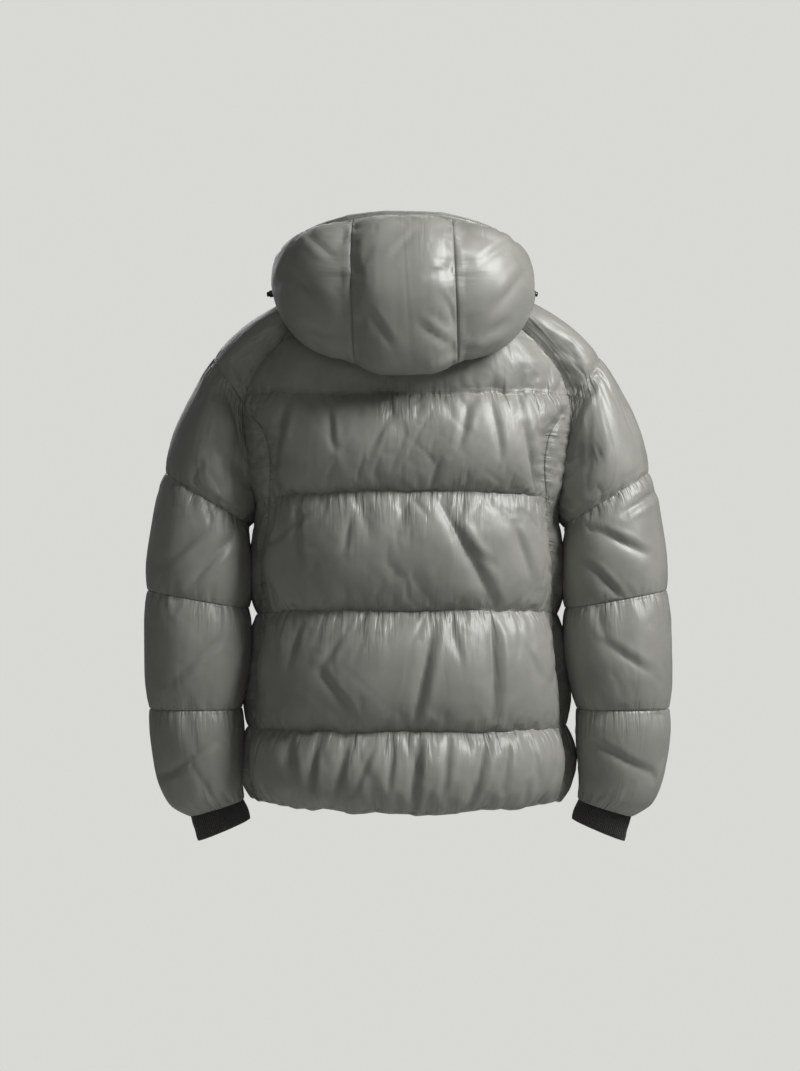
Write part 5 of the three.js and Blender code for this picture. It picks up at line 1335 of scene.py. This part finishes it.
black_plastic = plastic_material("black_plastic", (0.012, 0.012, 0.012), 0.38)
# distance along the lock from its middle, radius, both in millimetres
lock_profile = [(-5.0, 0.0), (-5.0, 3.2), (-4.5, 3.9), (-3.2, 4.4), (0.5, 4.3), (1.6, 4.1), (1.9, 3.5),
                (2.1, 3.0), (4.2, 3.0), (4.8, 2.6), (5.0, 1.8), (5.0, 0.0)]
for name in ("cord_lock_left", "cord_lock_right"):
    low, high = (Vector(c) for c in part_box(name))
    middle = np.array((low + high) / 2) * 1000
    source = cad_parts[name].data
    corners = np.empty(len(source.vertices) * 3)
    source.vertices.foreach_get("co", corners)
    corners = np.unique(corners.reshape(-1, 3).round(6), axis=0) * 1000
    _, _, ways = np.linalg.svd(corners - corners.mean(0))
    side = 1 if name.endswith("left") else -1
    best = max(ways, key=lambda w: np.ptp(corners @ w))
    axis = best * (1 if best[0] * side > 0 else -1)
    across = unit(np.cross(axis, [0, 0, 1.0]))
    over = np.cross(axis, across)
    turns = np.linspace(0, 2 * math.pi, 25)[:-1]
    rings = np.stack([corners.mean(0) + axis * a + (np.cos(turns)[:, None] * across
                      + np.sin(turns)[:, None] * over) * r for a, r in lock_profile])
    count, sides = rings.shape[:2]
    faces = [[i * sides + k, i * sides + (k + 1) % sides, (i + 1) * sides + (k + 1) % sides,
              (i + 1) * sides + k] for i in range(count - 1) for k in range(sides)]
    lock = plain_mesh(name + "_moulded", rings, faces, [black_plastic])
    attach(lock, "jacket")
    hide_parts(name)

# Studio
# A pale room with one large soft light high on the right of the view and a weak one on the left.
# The camera stands four metres behind the jacket, level, as high as its waist.
camera_data = bpy.data.cameras.new("view")
camera = bpy.data.objects.new("view", camera_data)
bpy.context.scene.collection.objects.link(camera)
camera.location = (0.00875, 4.087, -0.294)
camera.rotation_euler = (math.pi / 2, 0, math.pi)
camera_data.sensor_fit = "VERTICAL"
camera_data.angle = 2 * math.atan(535.5 / 3270)
bpy.context.scene.camera = camera


def soft_light(name, place, target, size, power, color=(1, 1, 1)):
    data = bpy.data.lights.new(name, "AREA")
    data.shape = "RECTANGLE"
    data.size, data.size_y = size
    data.energy = power
    data.color = color
    light = bpy.data.objects.new(name, data)
    light.location = place
    light.rotation_euler = (Vector(target) - Vector(place)).to_track_quat("-Z", "Y").to_euler()
    bpy.context.scene.collection.objects.link(light)
    return light


soft_light("key", (-1.45, 0.95, 1.1), (0, 0, -0.2), (0.8, 1.0), 66)
soft_light("fill", (0.6, 3.6, 0.8), (0, 0, -0.3), (1.6, 2.0), 10)
soft_light("front_fill", (0.6, -3.0, 0.9), (0, 0, -0.3), (2.0, 1.6), 22)
world = bpy.data.worlds.new("room")
bpy.context.scene.world = world
world.use_nodes = True
tree = world.node_tree
background = tree.nodes["Background"]
background.inputs["Color"].default_value = (0.69, 0.69, 0.665, 1)
background.inputs["Strength"].default_value = 1.0
dim = tree.nodes.new("ShaderNodeBackground")
dim.inputs["Color"].default_value = (0.69, 0.69, 0.68, 1)
dim.inputs["Strength"].default_value = 0.15
ray = tree.nodes.new("ShaderNodeLightPath")
mixed = tree.nodes.new("ShaderNodeMixShader")
join(tree, ray, "Is Camera Ray", mixed, 0)
tree.links.new(dim.outputs[0], mixed.inputs[1])
tree.links.new(background.outputs[0], mixed.inputs[2])
tree.links.new(mixed.outputs[0], tree.nodes["World Output"].inputs["Surface"])

floor_mesh = bpy.data.meshes.new("floor")
floor_mesh.from_pydata([(-2.4, -2.4, -1.45), (2.4, -2.4, -1.45), (2.4, 2.4, -1.45), (-2.4, 2.4, -1.45)],
                       [], [[0, 1, 2, 3]])
floor = bpy.data.objects.new("floor", floor_mesh)
bpy.context.scene.collection.objects.link(floor)
floor_paint = bpy.data.materials.new("floor_paint")
floor_paint.use_nodes = True
floor_paint.node_tree.nodes["Principled BSDF"].inputs["Base Color"].default_value = (0.62, 0.62, 0.6, 1)
floor_paint.node_tree.nodes["Principled BSDF"].inputs["Roughness"].default_value = 0.8
floor_mesh.materials.append(floor_paint)
bpy.context.scene.view_settings.view_transform = "Standard"
bpy.context.scene.view_settings.look = "None"
